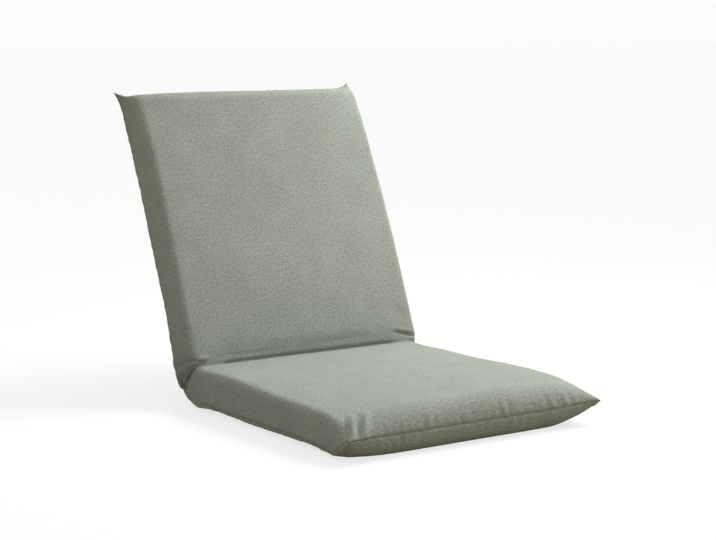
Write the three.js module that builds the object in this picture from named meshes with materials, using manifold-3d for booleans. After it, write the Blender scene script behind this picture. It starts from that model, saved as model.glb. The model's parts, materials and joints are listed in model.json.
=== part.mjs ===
// Folding floor chair
// Units are millimetres, +Z is up and the chair faces -Y. The origin is on the floor, under the
// middle of the seat. Two pads, each a foam block round a bent steel tube, share one fabric
// cover. They fold about a line that runs along X, on a ratchet hinge at each side.

import * as THREE from 'three';
import { mergeVertices } from 'three/addons/utils/BufferGeometryUtils.js';
import Module from 'manifold-3d';

const wasm = await Module();
wasm.setup();

// Overall sizes

const padWidth = 400;
const padThickness = 58;
const seatLength = 398; // hinge line to front seam
const backLength = 424; // hinge line to top seam
const seatCentreToHinge = 199;
const hingeBelowFace = 9; // hinge line below the face that is sat on
const leanFromVertical = 22.4; // degrees
const foldLimit = 171.6; // degrees from flat to folded
const clearance = 0.3; // between neighbouring pieces

// Cushion form

const sideRound = 26; // how far the sides round in from the seam
const crown = 3.5;
const cornerReach = 11; // pointed corners beyond the seams
const cornerSpread = 24;
const drawIn = 3; // how far the sides pull in at half length
const coverEnd = 17; // hinge line to the end of the stiff cover panels
const coverWall = 1;
const roundness = 2.4; // 2 is a circle, more is squarer

// Radii of the fabric round the hinge line, at the crease and where it is pinched behind

const sleeve = { crease: 11, pinch: 44 };

// Steel frame

const tube = { radius: 8, wall: 1.2, fromSide: 28, bend: 48, fromSeam: 44, fromHinge: 42 };
const crossTube = { radius: 6, fromHinge: 96 };
const strap = { thickness: 1.8, width: 50, count: 3 };

// Ratchet hinge, in the plane of one side: along is away from the hinge line, down is below it

const plate = { thickness: 3, edge: 1, footRadius: 7 };
const cheek = { thickness: 2, pivotRadius: 8.5 };
const teeth = { radius: 15.4, depth: 0.9, pitch: 5.2, first: -147.4, last: 40 }; // pitch on in degrees
const flankShares = [0.2, 0.4, 0.6]; // where a tooth reaches its tip, leaves it and ends, in one pitch
const rivet = { radius: 2.5, head: 4.4, headThickness: 1.5 };
const bush = { bore: 4.5, wall: 0.9 };
const foot = { along: 50, pitch: 20, rivets: 2 };
const neck = { along: 10, down: 4.2, radius: 3.2 };
const elbow = { along: 34, down: 8, radius: 7 };
const armRoot = { along: 25, down: 8, radius: 7 };
const nearRivet = { along: 24.5, down: 8, radius: 6 };
const farRivet = { along: 34.5, down: 9, radius: 5 };
const springRivet = { along: 15, down: 18, radius: 5 };
const pawl = {
  pinAngle: -108, pinDistance: 23, pinRadius: 2, bossRadius: 4, // degrees from the back, then millimetres
  noseAngle: -138, noseBack: 19, noseRadius: 3,
};
const pawlTeeth = { count: 3, tipShare: 0.13, rootShare: 0.26 }; // half widths, in pitches
const spring = { thickness: 0.6, width: 2.4 };
const springTouchShare = 0.6; // along the pawl's back, from its boss to its nose
const pocket = { inner: 17, outer: 11.5, along: 84, down: 33 }; // in the foam, from the tube's centre

// Zip across the back of the cover

const zip = {
  fromHinge: 74, slot: 7, fromSide: 50, tapeWidth: 24, tapeThickness: 0.6, tapeEnd: 6,
  coilWidth: 5, coilThickness: 0.9, coilEnd: 2,
};
const slider = { length: 11, width: 9, thickness: 2, lip: 0.45, fromEnd: 8 };
const pull = {
  barRadius: 0.6, eyeWall: 0.9, eyeWidth: 3.2, postWidth: 0.9,
  length: 24, tabWidth: 8, neckLength: 5.5, thickness: 1.2,
};

// Counts of steps in round shapes

const tubeSides = 8;
const bendSteps = 5;
const roundSteps = 12;
const rivetSteps = 8;
const cornerSteps = 8; // to each half circle of a plate's outline
const edgeSteps = 4;
const sleeveSteps = 6;
const faceShares = [0.72, 0.36, 0, -0.36, -0.72];
const lengthShares = [0, 0.06, 0.15, 0.28, 0.44, 0.62, 0.8, 0.93, 1];

// Derived places

const hingeHeight = padThickness - hingeBelowFace;
const halfWidth = padWidth / 2;
const under = -hingeHeight; // lower face, measured from the hinge line
const middle = under + padThickness / 2; // height of the seams and of the tube
const tubeX = halfWidth - tube.fromSide;
const plateOuterX = tubeX - tube.radius - clearance;
const plateInnerX = plateOuterX - plate.thickness;
const cheekX = { inner: plateInnerX - clearance - cheek.thickness, outer: plateOuterX + clearance };
const residual = THREE.MathUtils.degToRad((180 - foldLimit) / 2);
const backTurn = THREE.MathUtils.degToRad(90 - leanFromVertical);
const footRivets = Array.from({ length: foot.rivets }, (_, k) => (
  { along: foot.along + k * foot.pitch, down: -middle }
));
const cheekRivets = { near: nearRivet, far: farRivet, spring: springRivet };
const slotReach = halfWidth - zip.fromSide;
const overrun = padThickness; // how far a cutting shape runs past what it cuts
const tapeHeight = under + coverWall + clearance; // outer face of the zip tape
const crossReach = tubeX - tube.radius - clearance;
const strapInner = tube.radius / Math.cos(Math.PI / tubeSides) + clearance;
const strapOuter = strapInner + strap.thickness;

const seat = { dir: -1, length: seatLength };
const back = { dir: 1, length: backLength };

// Geometry helpers

function solidOf(geometry) {
  const bare = geometry.clone();
  bare.deleteAttribute('normal');
  bare.deleteAttribute('uv');
  const merged = mergeVertices(bare);
  return new wasm.Manifold(new wasm.Mesh({
    numProp: 3,
    vertProperties: new Float32Array(merged.attributes.position.array),
    triVerts: new Uint32Array(merged.index.array),
  }));
}

function geometryOf(solid) {
  const mesh = solid.getMesh();
  const geometry = new THREE.BufferGeometry();
  geometry.setAttribute('position', new THREE.BufferAttribute(new Float32Array(mesh.vertProperties), 3));
  geometry.setIndex(new THREE.BufferAttribute(new Uint32Array(mesh.triVerts), 1));
  geometry.computeVertexNormals();
  return geometry;
}

function combine(added, cut = []) {
  let solid = solidOf(added[0]);
  for (const geometry of added.slice(1)) {
    solid = solid.add(solidOf(geometry));
  }
  for (const geometry of cut) {
    solid = solid.subtract(solidOf(geometry));
  }
  return geometryOf(solid);
}

// A closed body between two grids of points, each a list of rows of [x, y, z]
function bodyBetween(outer, inner, loop = false) {
  const rows = outer.length;
  const columns = outer[0].length;
  const points = [...outer.flat(), ...inner.flat()];
  const at = (sheet, row, column) => sheet * rows * columns + row * columns + (column % columns);
  const faces = [];
  const quad = (a, b, c, d) => faces.push(a, b, c, a, c, d);
  const across = loop ? columns : columns - 1;
  for (let row = 0; row < rows - 1; row += 1) {
    for (let column = 0; column < across; column += 1) {
      quad(at(0, row, column), at(0, row, column + 1), at(0, row + 1, column + 1), at(0, row + 1, column));
      quad(at(1, row, column), at(1, row + 1, column), at(1, row + 1, column + 1), at(1, row, column + 1));
    }
    if (!loop) {
      const last = columns - 1;
      quad(at(0, row, 0), at(0, row + 1, 0), at(1, row + 1, 0), at(1, row, 0));
      quad(at(0, row, last), at(1, row, last), at(1, row + 1, last), at(0, row + 1, last));
    }
  }
  for (let column = 0; column < across; column += 1) {
    const last = rows - 1;
    quad(at(0, 0, column), at(1, 0, column), at(1, 0, column + 1), at(0, 0, column + 1));
    quad(at(0, last, column), at(0, last, column + 1), at(1, last, column + 1), at(1, last, column));
  }
  return facedOut(points, faces);
}

// Drops faces that have shrunk to a line and turns the rest to face out
function facedOut(points, faces) {
  const loose = new THREE.BufferGeometry();
  loose.setAttribute('position', new THREE.Float32BufferAttribute(points.flat(), 3));
  loose.setIndex(faces);
  const merged = mergeVertices(loose, clearance / 100);
  const index = merged.index.array;
  const corner = [new THREE.Vector3(), new THREE.Vector3(), new THREE.Vector3()];
  const kept = [];
  let volume = 0;
  for (let i = 0; i < index.length; i += 3) {
    const [a, b, c] = [index[i], index[i + 1], index[i + 2]];
    if (a !== b && b !== c && c !== a) {
      [a, b, c].forEach((vertex, k) => corner[k].fromBufferAttribute(merged.attributes.position, vertex));
      volume += corner[0].dot(corner[1].cross(corner[2]));
      kept.push([a, b, c]);
    }
  }
  merged.setIndex(kept.flatMap(([a, b, c]) => (volume < 0 ? [a, c, b] : [a, b, c])));
  merged.computeVertexNormals();
  return merged;
}

function box(low, high) {
  const size = high.map((value, axis) => value - low[axis]);
  const geometry = new THREE.BoxGeometry(...size);
  return geometry.translate(...low.map((value, axis) => value + size[axis] / 2));
}

// The outline round a set of circles, as a stretched string would run
function stringRound(circles) {
  const points = circles.flatMap(({ y, z, radius }) =>
    Array.from({ length: cornerSteps * 2 }, (_, step) => {
      const angle = (step / cornerSteps) * Math.PI;
      return [y + radius * Math.cos(angle), z + radius * Math.sin(angle)];
    }));
  points.sort((a, b) => a[0] - b[0] || a[1] - b[1]);
  const turn = (o, a, b) => (a[0] - o[0]) * (b[1] - o[1]) - (a[1] - o[1]) * (b[0] - o[0]);
  const half = (list) => {
    const line = [];
    for (const point of list) {
      while (line.length > 1 && turn(line.at(-2), line.at(-1), point) <= 0) {
        line.pop();
      }
      line.push(point);
    }
    return line.slice(0, -1);
  };
  const outline = [...half(points), ...half(points.reverse())];
  return new THREE.Shape(outline.map(([y, z]) => new THREE.Vector2(y, z)));
}

function extruded(shape, depth) {
  return new THREE.ExtrudeGeometry(shape, { depth, bevelEnabled: false, curveSegments: cornerSteps });
}

// Extrudes a shape drawn in Y and Z along +X, from X = start
function slab(shape, start, thickness) {
  const geometry = extruded(shape, thickness);
  geometry.applyMatrix4(new THREE.Matrix4().makeBasis(
    new THREE.Vector3(0, 1, 0),
    new THREE.Vector3(0, 0, 1),
    new THREE.Vector3(1, 0, 0),
  ));
  return geometry.translate(start, 0, 0);
}

// The two ends of a span along an axis, mirrored if side is -1 and put in rising order
function span(side, from, to, centre = 0) {
  return [centre + side * from, centre + side * to].sort((a, b) => a - b);
}

// Turns a profile of [radius, x] pairs about an axis along X through (y, z)
function turned(profile, y, z, steps = rivetSteps) {
  const points = profile.map(([radius, x]) => new THREE.Vector2(radius, x));
  const geometry = new THREE.LatheGeometry(points, steps);
  geometry.rotateZ(-Math.PI / 2);
  return geometry.translate(0, y, z);
}

function rod(radius, from, to, y, z, steps) {
  return turned([[0, from], [radius, from], [radius, to], [0, to]], y, z, steps);
}

function rivetThrough(radius, from, to, y, z, steps) {
  const outer = to + rivet.headThickness;
  const inner = from - rivet.headThickness;
  const head = radius + rivet.head - rivet.radius;
  return turned([
    [0, inner], [head, inner], [head, from], [radius, from],
    [radius, to], [head, to], [head, outer], [0, outer],
  ], y, z, steps);
}

// Cushion surfaces. A pad point is given by x, its distance along the pad from the hinge line,
// and its height from the hinge line towards the face that is sat on or leaned on.

function place(pad, x, along, height) {
  return [x, pad.dir * along, height];
}

function rise(inward, radius) {
  const share = Math.min(Math.max(inward / radius, 0), 1);
  return (1 - (1 - share) ** roundness) ** (1 / roundness);
}

// Distances in from a seam at which the rounded edge has its points
function edgeDistances(radius) {
  const turn = Math.PI / 2 / edgeSteps;
  return Array.from({ length: edgeSteps + 1 }, (_, k) => radius * (1 - Math.cos(k * turn)));
}

// The face stays just below the line at which the folded pads would meet
function faceHeight(x, along, inset) {
  const full = hingeBelowFace + crown * (1 - (x / halfWidth) ** 2);
  return full * Math.tanh((along * Math.tan(residual)) / full) - inset;
}

// One half of a pad's surface, from seam to seam. An inset makes it the inside of a wall.
function padSheet(pad, side, inset) {
  const radius = sideRound - inset;
  const inward = edgeDistances(radius);
  const columns = [
    ...inward.map((d) => ({ d, of: (half) => -half + d })),
    ...[...faceShares].reverse().map((share) => ({ d: radius, of: (half) => share * (half - radius) })),
    ...[...inward].reverse().map((d) => ({ d, of: (half) => half - d })),
  ];
  const shared = (share) => ({
    d: radius,
    of: (length) => coverEnd + share * (length - radius - coverEnd),
  });
  const rows = [
    ...lengthShares.map(shared),
    ...[...inward].reverse().slice(1).map((d) => ({ d, of: (length) => length - d })),
  ];
  const reach = (distance) => cornerReach * Math.exp(-((distance / cornerSpread) ** 2));
  return rows.map((row) => columns.map((column) => {
    const square = column.of(halfWidth - inset);
    const length = pad.length - inset + reach(halfWidth - Math.abs(square));
    const along = row.of(length);
    const waist = drawIn * Math.sin((Math.PI * along) / pad.length);
    const half = halfWidth - inset + reach(pad.length - along) - Math.max(waist, 0);
    const x = column.of(half);
    const full = rise(column.d, radius) * rise(row.d, radius);
    const face = side > 0 ? faceHeight(x, along, inset) : under + inset;
    return { x, along, height: middle + (face - middle) * full };
  }));
}

function shell(pad, side) {
  const seamEdge = middle + (side * clearance) / 2;
  const clearOfSeam = side > 0 ? Math.max : Math.min;
  const sheet = (inset) => padSheet(pad, side, inset).map((row) =>
    row.map(({ x, along, height }) => place(pad, x, along, clearOfSeam(height, seamEdge))));
  return bodyBetween(sheet(0), sheet(coverWall));
}

// The foam between two heights, inside the cover, less what is cut from it
function foamLayer(pad, low, high, cuts) {
  const inset = coverWall + clearance;
  const sheet = (side) => padSheet(pad, side, inset).map((row) =>
    row.map(({ x, along, height }) => place(pad, x, along, height)));
  const reach = pad.length + overrun;
  const slice = (from, to) => box([-reach, -reach, from], [reach, reach, to]);
  const outside = [slice(low - overrun * 2, low), slice(high, high + overrun * 2)];
  return combine([bodyBetween(sheet(1), sheet(-1))], [...outside, ...cuts]);
}

// Bent tubes

class BentPath extends THREE.Curve {
  constructor(knots) {
    super();
    this.knots = knots;
  }

  getPoint(t, target = new THREE.Vector3()) {
    const place = Math.min(Math.max(t, 0), 1) * (this.knots.length - 1);
    const index = Math.min(Math.floor(place), this.knots.length - 2);
    return target.lerpVectors(this.knots[index], this.knots[index + 1], place - index);
  }

  getUtoTmapping(u) {
    return u;
  }
}

function framePath(pad) {
  const far = pad.length - tube.fromSeam;
  const centre = { x: tubeX - tube.bend, along: far - tube.bend };
  const knots = [[-tubeX, tube.fromHinge]];
  for (const side of [-1, 1]) {
    for (let step = 0; step <= bendSteps; step += 1) {
      const share = side < 0 ? step / bendSteps : 1 - step / bendSteps;
      const angle = (share * Math.PI) / 2;
      const x = side * (centre.x + tube.bend * Math.cos(angle));
      knots.push([x, centre.along + tube.bend * Math.sin(angle)]);
    }
  }
  knots.push([tubeX, tube.fromHinge]);
  return new BentPath(knots.map(([x, along]) => new THREE.Vector3(...place(pad, x, along, middle))));
}

function ring(radius, sides = tubeSides) {
  return Array.from({ length: sides }, (_, k) => {
    const angle = ((k + 0.5) / sides) * Math.PI * 2;
    return new THREE.Vector2(radius * Math.cos(angle), radius * Math.sin(angle));
  });
}

function bentTube(pad, radius, wall = 0) {
  const shape = new THREE.Shape(ring(radius / Math.cos(Math.PI / tubeSides)));
  if (wall > 0) {
    shape.holes.push(new THREE.Path(ring(radius - wall)));
  }
  const path = framePath(pad);
  const steps = path.knots.length - 1;
  return new THREE.ExtrudeGeometry(shape, { extrudePath: path, steps, bevelEnabled: false });
}

function frameTube(pad) {
  const holes = [-1, 1].flatMap((side) => footRivets.map(({ along, down }) => {
    const ends = span(side, tubeX - overrun, tubeX + overrun);
    return rod(rivet.radius + clearance, ...ends, pad.dir * along, -down);
  }));
  return combine([bentTube(pad, tube.radius, tube.wall)], holes);
}

function crossRod(pad, radius, reach) {
  return rod(radius, -reach, reach, pad.dir * crossTube.fromHinge, middle);
}

// Elastic straps looped round both side tubes of the back

function strapPlaces() {
  const start = crossTube.fromHinge + crossTube.radius;
  const end = backLength - tube.fromSeam - tube.bend;
  return Array.from({ length: strap.count }, (_, k) => start + ((end - start) * (k + 1 / 2)) / strap.count);
}

function webbing(along) {
  const outer = strapOuter;
  const meet = Math.acos(strapInner / strapOuter);
  const shape = new THREE.Shape();
  shape.moveTo(-tubeX, outer);
  shape.lineTo(tubeX, outer);
  shape.absarc(tubeX, 0, outer, Math.PI / 2, Math.PI / 2 + meet, true);
  shape.absarc(-tubeX, 0, outer, Math.PI / 2 - meet, Math.PI / 2, true);
  for (const side of [-1, 1]) {
    const hole = new THREE.Path();
    hole.absarc(side * tubeX, 0, strapInner, 0, Math.PI * 2, false);
    shape.holes.push(hole);
  }
  const geometry = extruded(shape, strap.width);
  geometry.rotateX(Math.PI / 2);
  return geometry.translate(0, along + strap.width / 2, middle);
}

// Hollows that the foam keeps for the frame and the hinges

function foamCuts(pad) {
  const down = -pocket.down;
  const cuts = [bentTube(pad, tube.radius + clearance), crossRod(pad, crossTube.radius + clearance, tubeX)];
  for (const side of [-1, 1]) {
    const ends = span(side, tubeX - pocket.inner, tubeX + pocket.outer);
    const alongs = span(pad.dir, 0, pocket.along);
    cuts.push(box([ends[0], alongs[0], down], [ends[1], alongs[1], overrun]));
  }
  return cuts;
}

function seatFoam(side) {
  const split = middle + (side * clearance) / 2;
  const [low, high] = side > 0 ? [split, overrun] : [under - overrun, split];
  return foamLayer(seat, low, high, foamCuts(seat));
}

function backFoam(side) {
  const split = middle + strapOuter + clearance;
  if (side > 0) {
    return foamLayer(back, split + clearance, overrun, foamCuts(back));
  }
  const reach = tubeX + strapOuter + clearance;
  const deep = middle - strapOuter - clearance;
  const straps = strapPlaces().map((along) => {
    const half = strap.width / 2 + clearance;
    return box([-reach, along - half, deep], [reach, along + half, overrun]);
  });
  const tapeHalf = zip.tapeWidth / 2 + clearance;
  const tapeReach = slotReach + zip.tapeEnd + clearance;
  const tapeRoom = box(
    [-tapeReach, zip.fromHinge - tapeHalf, under - overrun],
    [tapeReach, zip.fromHinge + tapeHalf, tapeHeight + zip.tapeThickness + clearance],
  );
  return foamLayer(back, under - overrun, split, [...foamCuts(back), ...straps, tapeRoom]);
}

// The fabric between the two pads: a short bent duct round the hinge line

function hingeSleeve() {
  const ends = (inset) => {
    const start = coverEnd - clearance;
    return { top: [start, start * Math.tan(residual) - inset], low: [start, under + inset] };
  };
  const ringOf = (inset) => {
    const { top, low } = ends(inset);
    const radius = sideRound - inset;
    const inward = edgeDistances(radius);
    const half = halfWidth - inset;
    const line = [
      ...inward.map((d) => [-half + d, rise(d, radius)]),
      ...[...faceShares].reverse().map((share) => [share * (half - radius), 1]),
      ...[...inward].reverse().map((d) => [half - d, rise(d, radius)]),
    ];
    const seamShare = (top[1] - middle) / (top[1] - low[1]);
    const loop = [
      ...line.map(([x, full]) => [x, seamShare * (1 - full)]),
      ...[...line].reverse().slice(1, -1).map(([x, full]) => [x, seamShare + (1 - seamShare) * full]),
    ];
    const polar = ([along, height]) => [Math.hypot(along, height), Math.atan2(height, along)];
    const [topRadius, topAngle] = polar(top);
    const [lowRadius, lowAngle] = polar(low);
    return Array.from({ length: sleeveSteps + 1 }, (_, k) => {
      const share = k / sleeveSteps;
      const bow = (2 * share - 1) ** 2;
      const spin = (from, to) => from + (to - from) * share;
      const topTurn = spin(Math.PI - topAngle, backTurn + topAngle);
      const lowTurn = spin(Math.PI - lowAngle, backTurn + lowAngle + Math.PI * 2);
      const topReach = sleeve.crease - inset + (topRadius - sleeve.crease + inset) * bow;
      const lowReach = sleeve.pinch - inset + (lowRadius - sleeve.pinch + inset) * bow;
      const crease = [topReach * Math.cos(topTurn), topReach * Math.sin(topTurn)];
      const heel = [lowReach * Math.cos(lowTurn), lowReach * Math.sin(lowTurn)];
      return loop.map(([x, depth]) => [
        x,
        crease[0] + (heel[0] - crease[0]) * depth,
        crease[1] + (heel[1] - crease[1]) * depth,
      ]);
    });
  };
  return bodyBetween(ringOf(0), ringOf(coverWall), true);
}

// Ratchet hinge pieces. Side is 1 on the right and -1 on the left.

function sided(side, start, thickness) {
  return side > 0 ? start : -start - thickness;
}

function circleOf(pad, { along, down, radius }) {
  return { y: pad.dir * along, z: -down, radius };
}

function footCircles(pad) {
  return footRivets.map(({ along, down }) => circleOf(pad, { along, down, radius: plate.footRadius }));
}

function plateSlab(side, circles) {
  return slab(stringRound(circles), sided(side, plateInnerX, plate.thickness), plate.thickness);
}

function plateHole(side, radius, y, z, steps) {
  return rod(radius, ...span(side, plateInnerX - overrun, plateOuterX + overrun), y, z, steps);
}

function rivetHoles(side, pad, spots) {
  return spots.map(({ along, down }) => plateHole(side, rivet.radius + clearance, pad.dir * along, -down));
}

function around(radius, degrees) {
  const angle = THREE.MathUtils.degToRad(degrees);
  return [radius * Math.cos(angle), radius * Math.sin(angle)];
}

function toothedSector() {
  const root = teeth.radius - teeth.depth;
  const count = Math.floor((teeth.last - teeth.first) / teeth.pitch);
  const [up, over, down] = flankShares;
  const shape = new THREE.Shape();
  shape.moveTo(0, 0);
  for (let tooth = 0; tooth < count; tooth += 1) {
    const start = teeth.first + tooth * teeth.pitch;
    shape.lineTo(...around(root, start));
    shape.lineTo(...around(teeth.radius, start + up * teeth.pitch));
    shape.lineTo(...around(teeth.radius, start + over * teeth.pitch));
    shape.lineTo(...around(root, start + down * teeth.pitch));
  }
  return shape;
}

function ratchetPlate(side) {
  const pivot = { y: 0, z: 0, radius: cheek.pivotRadius };
  const start = sided(side, plateInnerX, plate.thickness);
  const body = [
    plateSlab(side, [pivot, circleOf(seat, neck)]),
    plateSlab(side, [circleOf(seat, neck), circleOf(seat, elbow)]),
    plateSlab(side, [circleOf(seat, elbow), footCircles(seat)[0]]),
    plateSlab(side, footCircles(seat)),
    slab(toothedSector(), start, plate.thickness),
  ];
  const holes = rivetHoles(side, seat, footRivets);
  holes.push(plateHole(side, bush.bore + bush.wall + clearance, 0, 0, roundSteps));
  return combine(body, holes);
}

function armPlate(side) {
  const body = [
    plateSlab(side, [circleOf(back, armRoot), circleOf(back, elbow)]),
    plateSlab(side, [circleOf(back, elbow), footCircles(back)[0]]),
    plateSlab(side, footCircles(back)),
  ];
  return combine(body, rivetHoles(side, back, [...footRivets, nearRivet, farRivet]));
}

function pawlPin() {
  const angle = THREE.MathUtils.degToRad(pawl.pinAngle);
  return { y: pawl.pinDistance * Math.cos(angle), z: pawl.pinDistance * Math.sin(angle) };
}

function cheekPlate(side, which) {
  const start = sided(side, cheekX[which], cheek.thickness);
  const pin = pawlPin();
  const circles = [
    { y: 0, z: 0, radius: cheek.pivotRadius },
    { ...pin, radius: pawl.bossRadius },
    ...Object.values(cheekRivets).map((spot) => circleOf(back, spot)),
  ];
  const body = slab(stringRound(circles), start, cheek.thickness);
  const trimEdge = [start - overrun, cheek.pivotRadius, -plate.edge];
  const frontTrim = box(trimEdge, [start + overrun, overrun, overrun]);
  const holes = rivetHoles(side, back, Object.values(cheekRivets));
  holes.push(plateHole(side, bush.bore, 0, 0, roundSteps));
  holes.push(plateHole(side, pawl.pinRadius + clearance, pin.y, pin.z));
  return combine([body], [frontTrim, ...holes]);
}

function acrossCheeks(side, radius, y, z, steps) {
  const ends = span(side, cheekX.inner - clearance, cheekX.outer + cheek.thickness + clearance);
  return rivetThrough(radius, ...ends, y, z, steps);
}

function pivotBush(side) {
  const start = sided(side, plateInnerX, plate.thickness);
  const end = start + plate.thickness;
  const outer = bush.bore + bush.wall;
  const corners = [[bush.bore, start], [outer, start], [outer, end], [bush.bore, end]];
  return turned([...corners, corners[0]], 0, 0, roundSteps);
}

// The pawl's teeth sit in the gaps of the ratchet. It lifts clear as it turns about its pin.
function pawlBody(side) {
  const pin = pawlPin();
  const start = sided(side, plateInnerX, plate.thickness);
  const [noseY, noseZ] = around(pawl.noseBack, pawl.noseAngle);
  const body = slab(
    stringRound([{ ...pin, radius: pawl.bossRadius }, { y: noseY, z: noseZ, radius: pawl.noseRadius }]),
    start,
    plate.thickness,
  );
  const gap = (1 + flankShares[2]) / 2;
  const leanedBack = THREE.MathUtils.radToDeg(backTurn);
  const gaps = Math.round((pawl.noseAngle + leanedBack - teeth.first) / teeth.pitch - gap);
  const middleTooth = teeth.first + (gaps + gap) * teeth.pitch - leanedBack;
  const hooks = Array.from({ length: pawlTeeth.count }, (_, k) => {
    const centre = middleTooth + (k - (pawlTeeth.count - 1) / 2) * teeth.pitch;
    const root = pawl.noseBack - pawl.noseRadius / 2;
    const tip = teeth.radius - teeth.depth + clearance;
    const shape = new THREE.Shape();
    shape.moveTo(...around(root, centre - pawlTeeth.rootShare * teeth.pitch));
    shape.lineTo(...around(root, centre + pawlTeeth.rootShare * teeth.pitch));
    shape.lineTo(...around(tip, centre + pawlTeeth.tipShare * teeth.pitch));
    shape.lineTo(...around(tip, centre - pawlTeeth.tipShare * teeth.pitch));
    return slab(shape, start, plate.thickness);
  });
  return combine([body, ...hooks], [plateHole(side, pawl.pinRadius + clearance, pin.y, pin.z)]);
}

// A leaf spring from its rivet, round the pawl's boss, to the back of the pawl
function pawlSpring(side) {
  const pin = pawlPin();
  const off = clearance + spring.thickness / 2;
  const [noseY, noseZ] = around(pawl.noseBack, pawl.noseAngle);
  const along = new THREE.Vector2(noseY - pin.y, noseZ - pin.z).normalize();
  const out = new THREE.Vector2(-along.y, along.x);
  const boss = new THREE.Vector2(pin.y, pin.z);
  const nose = new THREE.Vector2(noseY, noseZ);
  const bossOff = pawl.bossRadius + off;
  const bossSide = boss.clone().addScaledVector(out, bossOff);
  const noseSide = nose.clone().addScaledVector(out, pawl.noseRadius + off);
  const touch = bossSide.lerp(noseSide, springTouchShare);
  const curve = new THREE.SplineCurve([
    new THREE.Vector2(springRivet.along, -springRivet.down - rivet.radius - off),
    boss.clone().add(new THREE.Vector2(pawl.bossRadius, -bossOff)),
    boss.clone().add(new THREE.Vector2(-pawl.pinRadius, -bossOff)),
    touch,
  ]);
  const steps = roundSteps;
  const edge = (sign) => Array.from({ length: steps + 1 }, (_, k) => {
    const tangent = curve.getTangent(k / steps);
    const normal = new THREE.Vector2(-tangent.y, tangent.x);
    return curve.getPoint(k / steps).addScaledVector(normal, (sign * spring.thickness) / 2);
  });
  const shape = new THREE.Shape([...edge(1), ...edge(-1).reverse()]);
  const start = plateInnerX + (plate.thickness - spring.width) / 2;
  return slab(shape, sided(side, start, spring.width), spring.width);
}

function pivotRivet(side) {
  return acrossCheeks(side, bush.bore - clearance, 0, 0, roundSteps);
}

function footRivet(side, pad, { along, down }) {
  const ends = span(side, plateInnerX - clearance, tubeX + tube.radius + clearance);
  return rivetThrough(rivet.radius, ...ends, pad.dir * along, -down);
}

// Zip pieces, in the back pad's own place

function rearCover() {
  const [reach, half] = [slotReach, zip.slot / 2];
  const [low, high] = [zip.fromHinge - half, zip.fromHinge + half];
  const slot = box([-reach, low, under - overrun], [reach, high, middle - tube.radius]);
  return combine([shell(back, -1)], [slot]);
}

function zipTape() {
  const [reach, half] = [slotReach + zip.tapeEnd, zip.tapeWidth / 2];
  const inner = tapeHeight + zip.tapeThickness;
  return box([-reach, zip.fromHinge - half, tapeHeight], [reach, zip.fromHinge + half, inner]);
}

function zipCoil() {
  const [reach, half] = [slotReach - zip.coilEnd, zip.coilWidth / 2];
  const top = tapeHeight - clearance;
  return box([-reach, zip.fromHinge - half, top - zip.coilThickness], [reach, zip.fromHinge + half, top]);
}

const sliderFace = under - clearance;
const sliderBack = sliderFace - slider.thickness;
const sliderX = slotReach - slider.fromEnd - slider.length / 2;
const eyeRadius = pull.barRadius + clearance + pull.eyeWall;
const barHeight = sliderBack - clearance - eyeRadius;

function zipSlider() {
  const [start, end] = [sliderX - slider.length / 2, sliderX + slider.length / 2];
  const half = slider.width / 2;
  const body = [box([start, zip.fromHinge - half, sliderBack], [end, zip.fromHinge + half, sliderFace])];
  const lipOuter = zip.slot / 2 - (zip.slot - zip.coilWidth) / 8;
  const inBody = slider.thickness / 2; // how deep the lips and posts root in the slider's plate
  for (const side of [-1, 1]) {
    const lip = span(side, lipOuter - slider.lip, lipOuter, zip.fromHinge);
    body.push(box([start, lip[0], sliderFace - inBody], [end, lip[1], tapeHeight - zip.coilThickness / 2]));
    const postStart = pull.eyeWidth / 2 + clearance;
    const post = span(side, postStart, postStart + pull.postWidth, sliderX);
    const deep = barHeight - pull.barRadius - clearance;
    const [postLow, postHigh] = [zip.fromHinge - pull.postWidth, zip.fromHinge + pull.postWidth];
    body.push(box([post[0], postLow, deep], [post[1], postHigh, sliderBack + inBody]));
  }
  const barReach = pull.eyeWidth / 2 + clearance + pull.postWidth / 2;
  body.push(rod(pull.barRadius, sliderX - barReach, sliderX + barReach, zip.fromHinge, barHeight));
  return combine(body);
}

function zipPull() {
  const eye = new THREE.Shape();
  eye.absarc(0, 0, eyeRadius, 0, Math.PI * 2, false);
  const ring = slab(eye, -pull.eyeWidth / 2, pull.eyeWidth);
  const bore = rod(pull.barRadius + clearance, -pull.eyeWidth, pull.eyeWidth, 0, 0);
  const half = pull.thickness / 2;
  const neckStart = -eyeRadius + pull.eyeWall / 2;
  const neckEnd = -pull.neckLength - pull.eyeWidth;
  const neckBar = box([-pull.eyeWidth / 2, neckEnd, -half], [pull.eyeWidth / 2, neckStart, half]);
  const end = { y: 0, z: -pull.length + pull.tabWidth / 2, radius: pull.tabWidth / 2 };
  const top = { y: 0, z: -pull.neckLength - pull.tabWidth / 2, radius: pull.tabWidth / 2 };
  const tab = extruded(stringRound([end, top]), pull.thickness);
  tab.translate(0, 0, -half);
  const geometry = combine([ring, neckBar, tab], [bore]);
  return geometry.translate(sliderX, zip.fromHinge, barHeight);
}

// Materials, one look for each kind of piece

function look(color, roughness, metalness = 0) {
  return () => new THREE.MeshStandardMaterial({ color, roughness, metalness });
}

const fabric = look('#9aa090', 0.95);
const foam = look('#e8e3d3', 1);
const elastic = look('#2b2b2b', 0.9);
const blackSteel = look('#1f2123', 0.5, 0.6);
const zincSteel = look('#b4b8ba', 0.35, 1);
const springSteel = look('#8d9296', 0.3, 1);
const tapeCloth = look('#8f9586', 0.9);
const nylon = look('#878d7f', 0.5);

// The chair

const seatGroup = new THREE.Group();
const backGroup = new THREE.Group();
seatGroup.position.set(0, seatCentreToHinge, hingeHeight);
backGroup.position.copy(seatGroup.position);
backGroup.rotation.x = backTurn;

function piece(group, name, geometry, material) {
  const mesh = new THREE.Mesh(geometry, material());
  mesh.name = name;
  group.add(mesh);
}

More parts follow.
